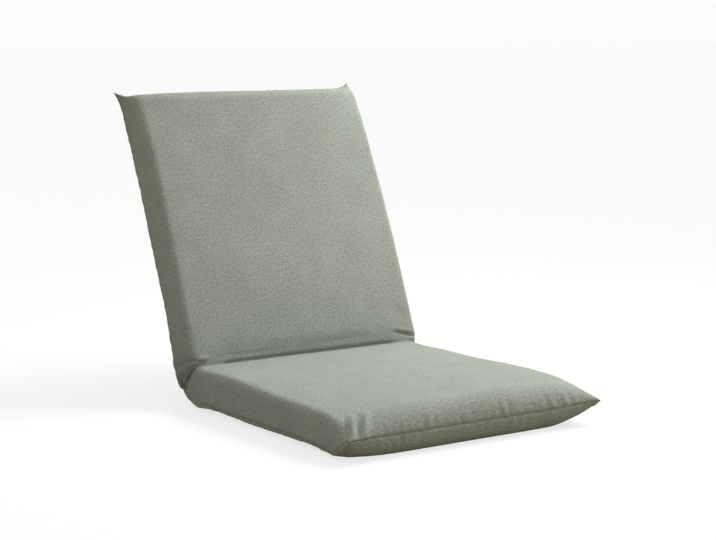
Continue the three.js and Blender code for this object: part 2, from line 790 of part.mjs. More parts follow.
piece(seatGroup, 'seat_cover_top', shell(seat, 1), fabric);
piece(seatGroup, 'seat_cover_bottom', shell(seat, -1), fabric);
piece(seatGroup, 'seat_foam_upper', seatFoam(1), foam);
piece(seatGroup, 'seat_foam_lower', seatFoam(-1), foam);
piece(seatGroup, 'seat_frame_tube', frameTube(seat), blackSteel);
piece(seatGroup, 'seat_cross_tube', crossRod(seat, crossTube.radius, crossReach), blackSteel);
piece(seatGroup, 'hinge_sleeve', hingeSleeve(), fabric);

piece(backGroup, 'back_cover_front', shell(back, 1), fabric);
piece(backGroup, 'back_cover_rear', rearCover(), fabric);
piece(backGroup, 'back_foam_front', backFoam(1), foam);
piece(backGroup, 'back_foam_rear', backFoam(-1), foam);
piece(backGroup, 'back_frame_tube', frameTube(back), blackSteel);
piece(backGroup, 'back_cross_tube', crossRod(back, crossTube.radius, crossReach), blackSteel);
strapPlaces().forEach((along, k) => {
  piece(backGroup, `webbing_strap_${k + 1}`, webbing(along), elastic);
});
piece(backGroup, 'zip_tape', zipTape(), tapeCloth);
piece(backGroup, 'zip_coil', zipCoil(), nylon);
piece(backGroup, 'zip_slider', zipSlider(), nylon);
piece(backGroup, 'zip_pull', zipPull(), nylon);

for (const side of [-1, 1]) {
  const end = side < 0 ? 'left' : 'right';
  piece(seatGroup, `ratchet_plate_${end}`, ratchetPlate(side), zincSteel);
  piece(seatGroup, `pivot_bush_${end}`, pivotBush(side), zincSteel);
  piece(backGroup, `arm_plate_${end}`, armPlate(side), zincSteel);
  piece(backGroup, `cheek_inner_${end}`, cheekPlate(side, 'inner'), zincSteel);
  piece(backGroup, `cheek_outer_${end}`, cheekPlate(side, 'outer'), zincSteel);
  piece(backGroup, `pivot_rivet_${end}`, pivotRivet(side), zincSteel);
  const pin = pawlPin();
  piece(backGroup, `pawl_${end}`, pawlBody(side), zincSteel);
  piece(backGroup, `pawl_pin_${end}`, acrossCheeks(side, pawl.pinRadius, pin.y, pin.z), zincSteel);
  piece(backGroup, `pawl_spring_${end}`, pawlSpring(side), springSteel);
  for (const [name, { along, down }] of Object.entries(cheekRivets)) {
    const shank = acrossCheeks(side, rivet.radius, along, -down);
    piece(backGroup, `cheek_rivet_${name}_${end}`, shank, zincSteel);
  }
  footRivets.forEach((spot, k) => {
    piece(seatGroup, `seat_rivet_${k + 1}_${end}`, footRivet(side, seat, spot), zincSteel);
    piece(backGroup, `back_rivet_${k + 1}_${end}`, footRivet(side, back, spot), zincSteel);
  });
}

const chair = new THREE.Group();
chair.add(seatGroup, backGroup);

export default chair;
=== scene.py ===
import json
import math

import bmesh
import bpy
from mathutils import Matrix, Vector, noise


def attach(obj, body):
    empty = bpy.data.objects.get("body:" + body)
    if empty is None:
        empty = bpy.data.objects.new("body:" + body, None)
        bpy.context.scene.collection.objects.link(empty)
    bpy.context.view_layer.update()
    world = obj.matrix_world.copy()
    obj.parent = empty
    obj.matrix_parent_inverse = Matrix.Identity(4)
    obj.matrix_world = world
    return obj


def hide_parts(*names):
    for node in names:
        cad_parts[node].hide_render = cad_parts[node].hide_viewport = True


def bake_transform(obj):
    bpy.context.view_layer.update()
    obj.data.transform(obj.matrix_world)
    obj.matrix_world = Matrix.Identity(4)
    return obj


# Folding floor chair: a sewn cover over two pads, with the steel frame and hinges inside.
# Metres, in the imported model's own frame.

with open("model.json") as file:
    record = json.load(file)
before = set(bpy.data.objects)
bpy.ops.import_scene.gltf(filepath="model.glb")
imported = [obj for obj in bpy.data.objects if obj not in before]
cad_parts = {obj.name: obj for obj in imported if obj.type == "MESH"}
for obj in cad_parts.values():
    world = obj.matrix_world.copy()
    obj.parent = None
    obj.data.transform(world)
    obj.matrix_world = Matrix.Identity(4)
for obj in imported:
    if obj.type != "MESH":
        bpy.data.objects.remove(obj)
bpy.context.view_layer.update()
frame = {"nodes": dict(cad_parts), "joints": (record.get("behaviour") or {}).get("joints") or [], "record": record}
nodes = frame["nodes"]
print("Frame loaded:", len(nodes), "nodes")

# The seat lies flat and the back leans away from the hinge line

lean = math.radians(22.4)
recline = next(joint for joint in frame["joints"] if joint["name"] == "recline")
hingeLine = Vector(recline["pos_m"])
backUp = Vector((0, math.sin(lean), math.cos(lean)))
backFront = Vector((0, -math.cos(lean), math.sin(lean)))
seatOut = Vector((0, -1, 0))
seatUp = Vector((0, 0, 1))


def smooth(value):
    value = min(max(value, 0), 1)
    return value * value * (3 - 2 * value)


def bell(distance, width):
    return math.exp(-((distance / width) ** 2))


def mix(a, b, share):
    return a + (b - a) * share


def newPiece(name, mesh, material):
    piece = bpy.data.objects.new(name, mesh)
    bpy.context.scene.collection.objects.link(piece)
    piece.data.materials.append(material)
    return piece


def shadeSmooth(mesh):
    for face in mesh.polygons:
        face.use_smooth = True


def meshFrom(bm, name):
    mesh = bpy.data.meshes.new(name)
    bm.to_mesh(mesh)
    bm.free()
    return mesh


def mergedCopy(nodeName, name, distance):
    # A node's mesh is loose triangles, so its copy is merged
    bm = bmesh.new()
    bm.from_mesh(nodes[nodeName].data)
    bmesh.ops.remove_doubles(bm, verts=bm.verts, dist=distance)
    return meshFrom(bm, name)


# Material building blocks


def newMaterial(name, color, roughness, metallic=0):
    material = bpy.data.materials.new(name)
    material.use_nodes = True
    shader = material.node_tree.nodes["Principled BSDF"]
    shader.inputs["Base Color"].default_value = (*color, 1)
    shader.inputs["Roughness"].default_value = roughness
    shader.inputs["Metallic"].default_value = metallic
    return material, material.node_tree, shader


def newGroup(name, takes, gives):
    group = bpy.data.node_groups.new(name, "ShaderNodeTree")
    for label, kind, value in takes:
        socket = group.interface.new_socket(label, in_out="INPUT", socket_type=kind)
        if value is not None:
            socket.default_value = value
    for label, kind in gives:
        group.interface.new_socket(label, in_out="OUTPUT", socket_type=kind)
    start = group.nodes.new("NodeGroupInput")
    end = group.nodes.new("NodeGroupOutput")
    return group, start, end


def addNode(tree, kind, **values):
    node = tree.nodes.new(kind)
    for key, value in values.items():
        setattr(node, key, value)
    return node


def maths(tree, operation, first, second=None, third=None, clamp=False):
    node = addNode(tree, "ShaderNodeMath", operation=operation, use_clamp=clamp)
    for index, value in enumerate((first, second, third)):
        if value is None:
            continue
        if isinstance(value, (int, float)):
            node.inputs[index].default_value = value
        else:
            tree.links.new(value, node.inputs[index])
    return node.outputs[0]


def noiseAt(tree, vector, scale, detail=2, roughness=0.5):
    node = addNode(tree, "ShaderNodeTexNoise")
    node.inputs["Scale"].default_value = scale
    node.inputs["Detail"].default_value = detail
    node.inputs["Roughness"].default_value = roughness
    tree.links.new(vector, node.inputs["Vector"])
    return node.outputs["Fac"]


def colorMix(tree, share, first, second):
    node = addNode(tree, "ShaderNodeMix", data_type="RGBA")
    factor, a, b = node.inputs[0], node.inputs[6], node.inputs[7]
    for socket, value in ((factor, share), (a, first), (b, second)):
        if isinstance(value, (int, float)):
            socket.default_value = value
        elif isinstance(value, tuple):
            socket.default_value = (*value, 1)
        else:
            tree.links.new(value, socket)
    return node.outputs[2]


weaving = {
    "thread": 0.0011,  # from one thread to the next
    "wander": 0.0012,  # how far a thread strays
    "wanderScale": 160,
    "slubLength": 0.012,
    "slubWidth": 1.7,  # in threads
    "slubHeight": 0.8,
    "speckle": 0.0030,
}


def makeWeaveGroup():
    # Plain weave with uneven threads, from a flat coordinate in metres
    group, start, end = newGroup(
        "plainWeave",
        [("Cloth Place", "NodeSocketVector", None)],
        [(label, "NodeSocketFloat") for label in ("Height", "Thread Shade", "Speckle")],
    )
    place = start.outputs["Cloth Place"]
    apart = addNode(group, "ShaderNodeSeparateXYZ")
    group.links.new(place, apart.inputs[0])
    stray = maths(group, "SUBTRACT", noiseAt(group, place, weaving["wanderScale"], 1), 0.5)
    wander = maths(group, "MULTIPLY", stray, weaving["wander"])
    across = maths(group, "ADD", apart.outputs[0], wander)
    along = maths(group, "ADD", apart.outputs[1], wander)
    turn = 2 * math.pi / weaving["thread"]
    warp = maths(group, "SINE", maths(group, "MULTIPLY", across, turn))
    weft = maths(group, "SINE", maths(group, "MULTIPLY", along, turn))
    over = maths(group, "MULTIPLY", warp, weft)
    height = maths(group, "MULTIPLY_ADD", over, 0.5, 0.5)
    wide, long = 1 / weaving["thread"] / weaving["slubWidth"], 1 / weaving["slubLength"]
    slubs = []
    for scale in ((wide, long, 1), (long, wide, 1)):
        mapping = addNode(group, "ShaderNodeMapping")
        mapping.inputs["Scale"].default_value = scale
        group.links.new(place, mapping.inputs["Vector"])
        slubs.append(noiseAt(group, mapping.outputs[0], 1, 2))
    slub = maths(group, "MAXIMUM", *slubs)
    speckle = noiseAt(group, place, 1 / weaving["speckle"], 3, 0.7)
    raised = maths(group, "MULTIPLY_ADD", slub, weaving["slubHeight"], height)
    group.links.new(raised, end.inputs["Height"])
    group.links.new(slub, end.inputs["Thread Shade"])
    group.links.new(speckle, end.inputs["Speckle"])
    return group


def makePatchGroup():
    # Broad uneven tone, as dyed cloth and foam have
    group, start, end = newGroup(
        "softPatches",
        [("Place", "NodeSocketVector", None), ("Size", "NodeSocketFloat", 0.05)],
        [("Patches", "NodeSocketFloat")],
    )
    node = addNode(group, "ShaderNodeTexNoise")
    node.inputs["Detail"].default_value = 3
    group.links.new(start.outputs["Place"], node.inputs["Vector"])
    group.links.new(maths(group, "DIVIDE", 1, start.outputs["Size"]), node.inputs["Scale"])
    group.links.new(node.outputs["Fac"], end.inputs["Patches"])
    return group


def makeWearGroup():
    # Fine scratches and dulled spots for metal
    group, start, end = newGroup(
        "metalWear",
        [("Place", "NodeSocketVector", None)],
        [("Scratches", "NodeSocketFloat"), ("Dull", "NodeSocketFloat")],
    )
    stretched = addNode(group, "ShaderNodeMapping")
    stretched.inputs["Scale"].default_value = (900, 60, 900)
    group.links.new(start.outputs["Place"], stretched.inputs["Vector"])
    group.links.new(noiseAt(group, stretched.outputs[0], 1, 3), end.inputs["Scratches"])
    group.links.new(noiseAt(group, start.outputs["Place"], 140, 4, 0.6), end.inputs["Dull"])
    return group


weaveGroup = makeWeaveGroup()
patchGroup = makePatchGroup()
wearGroup = makeWearGroup()


def useGroup(tree, group, **sources):
    node = addNode(tree, "ShaderNodeGroup", node_tree=group)
    for label, source in sources.items():
        socket = node.inputs[label.replace("_", " ")]
        if isinstance(source, (int, float)):
            socket.default_value = source
        else:
            tree.links.new(source, socket)
    return node


def addBump(tree, shader, height, distance, strength=1):
    bump = addNode(tree, "ShaderNodeBump")
    bump.inputs["Distance"].default_value = distance
    bump.inputs["Strength"].default_value = strength
    tree.links.new(height, bump.inputs["Height"])
    tree.links.new(bump.outputs[0], shader.inputs["Normal"])


fabric = {
    "color": (0.385, 0.418, 0.355),
    "darkThread": (0.235, 0.262, 0.219),
    "lightThread": (0.53, 0.565, 0.494),
    "evened": 0.25,  # how far the threads draw together in colour
    "speckleContrast": 2.8,
    "patchSize": 0.045,
    "patchShade": (0.24, 0.88),  # how much it varies, and its darkest
    "threadShade": (0.3, 0.84),
    "seamShadow": (0.15, 0.165, 0.13),
    "seamDepth": 0.5,
    "paintedFoldShade": 0.26,  # painted shade: how much darker the cloth is made right in the fold
    "roughness": 0.92,
    "sheen": 0.12,
    "bump": 0.00025,
}


def makeFabricMaterial():
    material, tree, shader = newMaterial("sageLinen", fabric["color"], fabric["roughness"])
    place = addNode(tree, "ShaderNodeUVMap", uv_map="clothUv").outputs[0]
    weave = useGroup(tree, weaveGroup, Cloth_Place=place)
    patches = useGroup(tree, patchGroup, Place=place, Size=fabric["patchSize"])
    speckle = maths(tree, "SUBTRACT", weave.outputs["Speckle"], 0.5)
    tone = maths(tree, "MULTIPLY_ADD", speckle, fabric["speckleContrast"], 0.5, clamp=True)
    color = colorMix(tree, tone, fabric["darkThread"], fabric["lightThread"])
    color = colorMix(tree, fabric["evened"], color, fabric["color"])
    shade = maths(tree, "MULTIPLY_ADD", patches.outputs[0], *fabric["patchShade"])
    thread = maths(tree, "MULTIPLY_ADD", weave.outputs["Thread Shade"], *fabric["threadShade"])
    shade = maths(tree, "MULTIPLY", shade, thread)
    # the dark line along the seams: painted shadow in the seam groove and the seam thread
    seam = addNode(tree, "ShaderNodeAttribute", attribute_name="seamNear")
    dark = maths(tree, "MULTIPLY", seam.outputs["Fac"], fabric["seamDepth"], clamp=True)
    color = colorMix(tree, dark, color, fabric["seamShadow"])
    # painted shade towards the fold between the pads darkens the colour
    paintedFoldShade = addNode(tree, "ShaderNodeAttribute", attribute_name="paintedFoldShade")
    left = maths(tree, "MULTIPLY_ADD", paintedFoldShade.outputs["Fac"], -fabric["paintedFoldShade"], 1)
    scaled = addNode(tree, "ShaderNodeVectorMath", operation="SCALE")
    tree.links.new(color, scaled.inputs[0])
    tree.links.new(maths(tree, "MULTIPLY", shade, left), scaled.inputs["Scale"])
    tree.links.new(scaled.outputs[0], shader.inputs["Base Color"])
    shader.inputs["Sheen Weight"].default_value = fabric["sheen"]
    shader.inputs["Sheen Roughness"].default_value = 0.5
    shader.inputs["Specular IOR Level"].default_value = 0.2
    addBump(tree, shader, weave.outputs["Height"], fabric["bump"])
    return material


fabricMaterial = makeFabricMaterial()


foamLook = {
    "fresh": (0.84, 0.80, 0.66),
    "aged": (0.70, 0.62, 0.42),
    "cellScale": 700,
    "patchSize": 0.06,
    "bump": 0.0005,
}


def makeFoamMaterial():
    material, tree, shader = newMaterial("openCellFoam", foamLook["fresh"], 1.0)
    place = addNode(tree, "ShaderNodeTexCoord").outputs["Object"]
    cells = addNode(tree, "ShaderNodeTexVoronoi", feature="F1")
    cells.inputs["Scale"].default_value = foamLook["cellScale"]
    tree.links.new(place, cells.inputs["Vector"])
    patches = useGroup(tree, patchGroup, Place=place, Size=foamLook["patchSize"])
    shade = maths(tree, "MULTIPLY_ADD", patches.outputs[0], 0.5, 0.2, clamp=True)
    color = colorMix(tree, shade, foamLook["fresh"], foamLook["aged"])
    tree.links.new(color, shader.inputs["Base Color"])
    addBump(tree, shader, cells.outputs["Distance"], foamLook["bump"])
    return material


def makeSteelMaterial(name, color, roughness, dullShare, metallic=1):
    material, tree, shader = newMaterial(name, color, roughness, metallic)
    place = addNode(tree, "ShaderNodeTexCoord").outputs["Object"]
    wear = useGroup(tree, wearGroup, Place=place)
    uneven = maths(tree, "MULTIPLY_ADD", wear.outputs["Dull"], 0.3, roughness - 0.1, clamp=True)
    tree.links.new(uneven, shader.inputs["Roughness"])
    dull = maths(tree, "MULTIPLY", wear.outputs["Dull"], dullShare)
    worn = colorMix(tree, dull, color, tuple(channel * 0.5 for channel in color))
    tree.links.new(worn, shader.inputs["Base Color"])
    addBump(tree, shader, wear.outputs["Scratches"], 0.00003)
    return material


def makeWebbingMaterial():
    material, tree, shader = newMaterial("ribbedElastic", (0.03, 0.03, 0.03), 0.85)
    place = addNode(tree, "ShaderNodeTexCoord").outputs["Object"]
    ribs = addNode(tree, "ShaderNodeTexWave", wave_type="BANDS", bands_direction="Z")
    ribs.inputs["Scale"].default_value = 110
    tree.links.new(place, ribs.inputs["Vector"])
    shade = maths(tree, "MULTIPLY", ribs.outputs["Fac"], noiseAt(tree, place, 900, 2))
    color = colorMix(tree, shade, (0.016, 0.016, 0.017), (0.07, 0.07, 0.07))
    tree.links.new(color, shader.inputs["Base Color"])
    addBump(tree, shader, ribs.outputs["Fac"], 0.0003)
    return material


def makeZipMaterial(name, dark, light, roughness, grainScale):
    material, tree, shader = newMaterial(name, light, roughness)
    place = addNode(tree, "ShaderNodeTexCoord").outputs["Object"]
    grain = noiseAt(tree, place, grainScale, 3, 0.6)
    tree.links.new(colorMix(tree, grain, dark, light), shader.inputs["Base Color"])
    addBump(tree, shader, grain, 0.0001)
    return material


foamMaterial = makeFoamMaterial()
pullMaterial = makeZipMaterial(
    "zipPullNylon", (0.30, 0.32, 0.27), (0.40, 0.425, 0.365), 0.4, 300,
)
slotMaterials = {
    "foam": foamMaterial,
    "frame_steel": makeSteelMaterial(
        "blackPowderCoat", (0.022, 0.022, 0.024), 0.5, 0.3, metallic=0,
    ),
    "hinge_steel": makeSteelMaterial("zincPlate", (0.55, 0.56, 0.57), 0.35, 0.4),
    "spring_steel": makeSteelMaterial("springSteel", (0.42, 0.43, 0.45), 0.28, 0.3),
    "webbing": makeWebbingMaterial(),
    "zip_cloth": makeZipMaterial(
        "zipTapeCloth", (0.17, 0.19, 0.155), (0.26, 0.285, 0.235), 0.9, 1500,
    ),
    "zip_nylon": makeZipMaterial(
        "zipNylon", (0.10, 0.113, 0.09), (0.16, 0.18, 0.145), 0.45, 300,
    ),
}
print("Materials made")

# Carried-over nodes take the finish of their slot

for row in frame["record"]["subparts"]:
    finish = slotMaterials.get(row["material_slot"])
    if finish:
        node = nodes[row["node"]]
        node.data.materials.clear()
        node.data.materials.append(finish)
print("Frame and hinge pieces finished")

# The cover is one sewn skin: a front panel over both pads and a rear panel behind them

cover = {
    "seatLength": 0.398,  # hinge line to the front seam
    "backLength": 0.4152,  # hinge line to the top seam
    "halfWidth": 0.2,
    "face": 0.009,  # above the hinge line
    "under": -0.049,
    "crown": 0.0042,
    "crownOver": 0.04,  # rises this far from the fold
    "rearCrown": 0.003,
    "rearCrownFrom": 0.1,
    "rearCrownEnd": 0.08,
    "hingeZone": 0.03,
    "creaseStart": 0.006,
    "creaseDepth": 0.0034,
    "creaseAtHinges": 0.0005,
    "creaseWidth": 0.0040,
    "sideCrease": 0.0065,  # deeper down the sides
    "sideFrom": 0.012,
    "sideFade": 0.03,
    "hingesAt": 0.162,
    "hingeHalf": 0.01,  # shallow over each hinge
    "hingeFade": 0.014,
    "cornerReach": 0.034,
    "waist": {"seat": 0.0035, "back": 0.006},  # the sides draw in at half length
    "seatEdgeLift": 0.006,  # the underside rises towards its sides
    "backEdgeLift": 0.0055,
    "liftFrom": 0.13,
    "liftOver": 0.06,
    "backLiftAt": 0.095,
    "backLiftOver": 0.08,
    "sag": 0.9,  # the near corner stays down
    "sagFrom": 0.3,
    "sagOver": 0.08,
    "sideSeam": {"seat": 0.91, "back": 0.85},  # share of the thickness, from the face
    "sideSeamOver": 0.06,
    "seamRadius": 0.023,  # sets the spacing of the points along the seams
    "frontEndRadius": {"seat": 0.029, "back": 0.014},
    "rearEndRadius": {"seat": 0.023, "back": 0.012},
    "sideRadius": 0.0085,
    "roundedNearHinge": 0.012,  # the back's edges are rounder low down
    "roundedFrom": 0.1,
    "roundedOver": 0.08,
    "sidePull": {"seat": 0.006, "back": 0.003},  # the left side draws in towards the fold
    "sidePullReach": {"seat": 0.022, "back": 0.014},
    "shoulder": 0.0088,  # the top right corner draws in
    "shoulderFrom": 0.24,
    "shoulderOver": 0.17,
    "edgeColumns": 14,
    "faceColumns": 100,
    "endRows": 14,
    "seatRows": 86,
    "hingeRows": 50,
    "zipRows": 18,
    "belowZipRows": 9,
    "backRows": 82,
    "seamLineReach": 0.0009,  # how far the dark line along each seam reaches: painted shadow in its groove and the seam thread
    "floorGap": 0.0003,
}

# Rear outline of the fold, from the hinge line: (share of the hinge zone, y, z)
rearFold = [
    (-1.0, -0.030, -0.049),
    (-0.66, -0.011, -0.0487),
    (-0.36, 0.010, -0.0435),
    (-0.14, 0.025, -0.0365),
    (0.0, 0.0335, -0.0290),
    (0.14, 0.0425, -0.0195),
    (0.36, 0.0495, -0.0075),
    (0.66, 0.0540, 0.0040),
    (1.0, 0.0565, 0.0094),
]

zipPlace = {
    "along": 0.074,  # above the hinge line
    "reach": 0.15,
    "band": 0.009,
    "slot": 0.0035,
    "slotEdge": 0.0012,
    "slotEnd": 0.004,
    "depth": 0.0022,
    "lip": 0.0005,
    "lipFrom": 0.0016,
    "lipWidth": 0.0014,
    "calmFrom": 0.004,  # the cloth is smooth round the zip
    "calmOver": 0.03,
    "calmPast": 0.01,
    "calmFade": 0.02,
}


def padPoint(t, height):
    # A point at a signed distance from the hinge line: seat below zero, back above
    if t < 0:
        return seatOut * -t + seatUp * height
    return backUp * t + backFront * height


def frontLine(t):
    zone, start = cover["hingeZone"], cover["creaseStart"]
    side = -1 if t < 0 else 1
    along = abs(t)
    if along < zone:
        along = mix(start, zone, along / zone)
    return padPoint(side * along, cover["face"])


def rearLine(t):
    zone = cover["hingeZone"]
    if abs(t) >= zone:
        return padPoint(t, cover["under"])
    share = t / zone
    for low, high in zip(rearFold, rearFold[1:]):
        if share <= high[0]:
            break
    index = rearFold.index(low)
    before = rearFold[max(index - 1, 0)]
    after = rearFold[min(index + 2, len(rearFold) - 1)]
    step = (share - low[0]) / (high[0] - low[0])
    point = []
    for axis in (1, 2):
        a, b, c, d = before[axis], low[axis], high[axis], after[axis]
        slopeStart, slopeEnd = (c - a) / 2, (d - b) / 2
        square, cube = step * step, step ** 3
        point.append(
            (2 * cube - 3 * square + 1) * b + (cube - 2 * square + step) * slopeStart
            + (3 * square - 2 * cube) * c + (cube - square) * slopeEnd
        )
    return Vector((0, *point))


def edgeProfile(share, height, radius):
    # From a seam, up a wall and round an edge: distance in, share of the height, length run
    radius = min(radius, height)
    wall = height - radius
    total = wall + radius * math.pi / 2
    run = share * total
    if run <= wall:
        return 0.0, run / height, run, total, radius
    angle = (run - wall) / radius
    rise = (wall + radius * math.sin(angle)) / height
    return radius * (1 - math.cos(angle)), rise, run, total, radius


# The corners. side, end: how far the seams reach out; spread: for how long; front, rear: how much
# each panel flattens; turn: where the side seam starts towards the end seam; seam: the end seam's
# share of the thickness, from the face
cornerKeys = ("side", "end", "spread", "front", "rear", "turn", "seam")
cornerValues = {
    ("seat", -1): (0.002, 0.003, 0.016, 0.5, 0.3, 0.045, 0.5),
    ("seat", 1): (0.0042, 0.005, 0.026, 0.36, 0.32, 0.08, 0.5),
    ("back", -1): (0.0098, 0.0135, 0.018, 0.2, 0.3, 0.06, 0.72),
    ("back", 1): (0.0005, 0.0145, 0.03, 0.35, 0.45, 0.08, 0.5),
}
corners = {place: dict(zip(cornerKeys, values)) for place, values in cornerValues.items()}


def cornerValue(pad, x, key):
    # From the left corner's value to the right corner's, eased across the width
    share = smooth(x / (2 * cover["halfWidth"]) + 0.5)
    return mix(corners[(pad, -1)][key], corners[(pad, 1)][key], share)


def edgeLift(t, x):
    # How far the rear line comes towards the face near the sides
    c = cover
    nearSide = smooth((abs(x) - c["liftFrom"]) / c["liftOver"])
    if t < 0:
        sag = c["sag"] * smooth((-t - c["sagFrom"]) / c["sagOver"]) if x < 0 else 0
        return c["seatEdgeLift"] * nearSide * smooth(-t / 0.05) * (1 - sag)
    lowDown = bell(t - c["backLiftAt"], c["backLiftOver"]) * smooth(t / 0.04)
    return c["backEdgeLift"] * nearSide * lowDown


def waistAt(pad, along):
    length = cover[pad + "Length"]
    return cover["waist"][pad] * max(math.sin(math.pi * min(along, length) / length), 0) ** 0.6


def shoulderAt(along):
    return cover["shoulder"] * smooth((along - cover["shoulderFrom"]) / cover["shoulderOver"])


def makeRows():
    # (side, zone, share): the rows of the cover from the front seam to the top seam
    c = cover
    rows = [("seat", "end", (k / c["endRows"]) ** 1.5) for k in range(c["endRows"])]
    rows += [("seat", "flat", 1 - k / c["seatRows"]) for k in range(c["seatRows"])]
    rows += [("fold", "fold", 2 * k / c["hingeRows"] - 1) for k in range(c["hingeRows"])]
    rows += [("back", "low", k / c["belowZipRows"]) for k in range(c["belowZipRows"])]
    rows += [("back", "zip", k / c["zipRows"]) for k in range(c["zipRows"])]
    rows += [("back", "flat", k / c["backRows"]) for k in range(c["backRows"])]
    rows += [("back", "end", (1 - k / c["endRows"]) ** 1.5) for k in range(c["endRows"] + 1)]
    return rows


def makeColumns():
    # (sign, zone, share): the columns from the left seam to the right seam
    c = cover
    columns = [(-1, "edge", (k / c["edgeColumns"]) ** 1.5) for k in range(c["edgeColumns"])]
    columns += [(0, "face", 2 * k / c["faceColumns"] - 1) for k in range(c["faceColumns"])]
    columns += [(1, "edge", (1 - k / c["edgeColumns"]) ** 1.5) for k in range(c["edgeColumns"] + 1)]
    return columns


coverRows = makeRows()
coverColumns = makeColumns()


def rowStation(row, length, panelHeight, radius):
    # Signed distance from the hinge line, share of full height, run from the end seam
    side, zone, share = row
    sign = -1 if side == "seat" else 1
    start = cover["hingeZone"]
    zipLow = zipPlace["along"] - zipPlace["band"]
    zipHigh = zipPlace["along"] + zipPlace["band"]
    edgeShare = share if zone == "end" else 1
    inward, rise, run, total, radius = edgeProfile(edgeShare, panelHeight, radius)
    if zone == "end":
        return sign * (length - inward), rise, run, sign * (length - radius + total - run)
    if zone == "fold":
        return share * start, 1.0, total, share * start
    if zone == "low":
        along = mix(start, zipLow, share)
    elif zone == "zip":
        along = mix(zipLow, zipHigh, share)
    else:
        low = start if side == "seat" else zipHigh
        along = mix(low, length - radius, share)
    return sign * along, 1.0, total + (length - radius - along), sign * along


def columnStation(column, half, panelHeight, radius):
    # Distance from the middle, share of full height, run from the side seam
    sign, zone, share = column
    edgeShare = share if zone == "edge" else 1
    inward, rise, run, total, radius = edgeProfile(edgeShare, panelHeight, radius)
    if zone == "edge":
        return sign * (half - inward), rise, run, sign * (half - radius + total - run)
    x = share * (half - radius)
    return x, 1.0, total + half - radius - abs(x), x


# Soft hollows and swellings of the front faces: x, t, reach across, reach along, height
dents = [
    (0.200, -0.026, 0.018, 0.036, -0.0080),
    (0.202, -0.140, 0.021, 0.110, -0.0075),
    (-0.196, -0.270, 0.035, 0.110, -0.0040),
    (-0.185, -0.105, 0.040, 0.050, 0.0020),
    (0.196, -0.335, 0.035, 0.050, -0.0030),
    (0.0, -0.20, 0.15, 0.12, 0.0010),
    (0.0, 0.115, 0.17, 0.075, 0.0035),
]


def dentAt(x, t):
    return sum(
        height * bell(x - atX, reachX) * bell(t - atT, reachT)
        for atX, atT, reachX, reachT, height in dents
    )


def coverPoint(front, row, column):
    # One point of the plain form, before folds: its place and what the finer shaping needs
    c = cover
    side = row[0]
    pad = "seat" if side == "seat" or (side == "fold" and row[2] < 0) else "back"
    padLength = c[pad + "Length"]
    halfDepth = (c["face"] - c["under"]) / 2
    # the points of a seam are spaced alike on both panels
    seamT = rowStation(row, padLength, halfDepth, c["seamRadius"])[0]
    nominal = columnStation(column, c["halfWidth"], halfDepth, c["seamRadius"])[0]
    endShare = row[2] if row[1] == "end" else 1
    edgeShare = column[2] if column[1] == "edge" else 1
    endSeam = cornerValue(pad, nominal, "seam")
    endHeight = (c["face"] - c["under"]) * (endSeam if front else 1 - endSeam)
    endRadius = c["frontEndRadius" if front else "rearEndRadius"][pad]
    ownT, rowRise, rowRun, v = rowStation(row, padLength, endHeight, endRadius)
    t = mix(seamT, ownT, smooth(edgeShare))
    fromEnd = padLength - abs(t)
    top = frontLine(t)
    low = rearLine(t)
    out = (top - low).normalized()
    low += out * edgeLift(t, nominal)
    depth = (top - low).length
    onBack = smooth(t / c["sideSeamOver"] + 0.5)
    sideSeam = mix(c["sideSeam"]["seat"], c["sideSeam"]["back"], onBack)
    turned = smooth(fromEnd / cornerValue(pad, nominal, "turn"))
    seamShare = mix(endSeam, sideSeam, turned)
    height = depth * (seamShare if front else 1 - seamShare)
    radius = mix(endRadius, c["sideRadius"], turned)
    if front and t > 0:
        lowDown = smooth((c["roundedFrom"] - t) / c["roundedOver"])
        radius = mix(radius, c["roundedNearHinge"], lowDown)
    # the sides draw in at half length, at the right shoulder and at the left end of the fold
    half = c["halfWidth"] - waistAt(pad, abs(t))
    if nominal > 0:
        half -= shoulderAt(t) * nominal / c["halfWidth"]
    else:
        half -= c["sidePull"][pad] * bell(t, c["sidePullReach"][pad])
    seamX = columnStation(column, half, halfDepth, c["seamRadius"])[0]
    ownX, rise, fromSide, u = columnStation(column, half, height, radius)
    x = mix(seamX, ownX, smooth(endShare))
    seam = low + out * (depth * (1 - seamShare))
    away = math.hypot(half - abs(x), fromEnd)
    flatten = cornerValue(pad, nominal, "front" if front else "rear")
    flatness = rise * rowRise
    lift = height * flatness * (1 - flatten * math.exp(-((away / c["cornerReach"]) ** 1.5)))
    thin = max(1 - flatness, 0) ** 1.5  # the ears grow out of the seams alone
    spread = cornerValue(pad, nominal, "spread")
    sideReach = cornerValue(pad, nominal, "side") * math.exp(-fromEnd / spread)
    fromCorner = (abs(nominal) - c["halfWidth"]) / spread
    endReach = cornerValue(pad, nominal, "end") * math.exp(fromCorner)
    x += math.copysign(sideReach * thin * (abs(nominal) / c["halfWidth"]) ** 6, x)
    flap = endReach * thin * (abs(t) / padLength) ** 6
    swell = (1 - (x / c["halfWidth"]) ** 2) * flatness
    if front:
        crown = c["crown"] * swell * smooth(abs(t) / c["crownOver"])
        point = seam + out * (lift + crown + dentAt(x, t) * flatness)
    else:
        level = c["rearCrown"] * smooth(t / c["rearCrownFrom"] - 1)
        point = seam - out * (lift + level * smooth(fromEnd / c["rearCrownEnd"]) * swell)
    return {
        "place": hingeLine + Vector((x, 0, 0)) + point + (seatOut if t < 0 else backUp) * flap,
        "front": front,
        "t": t,
        "x": x,
        "uv": (u, v),
        "fromSide": fromSide,
        "fromEnd": rowRun,
        "corner": Vector((max(half - abs(x), 0), max(fromEnd, 0))),
        "flatness": flatness,
    }


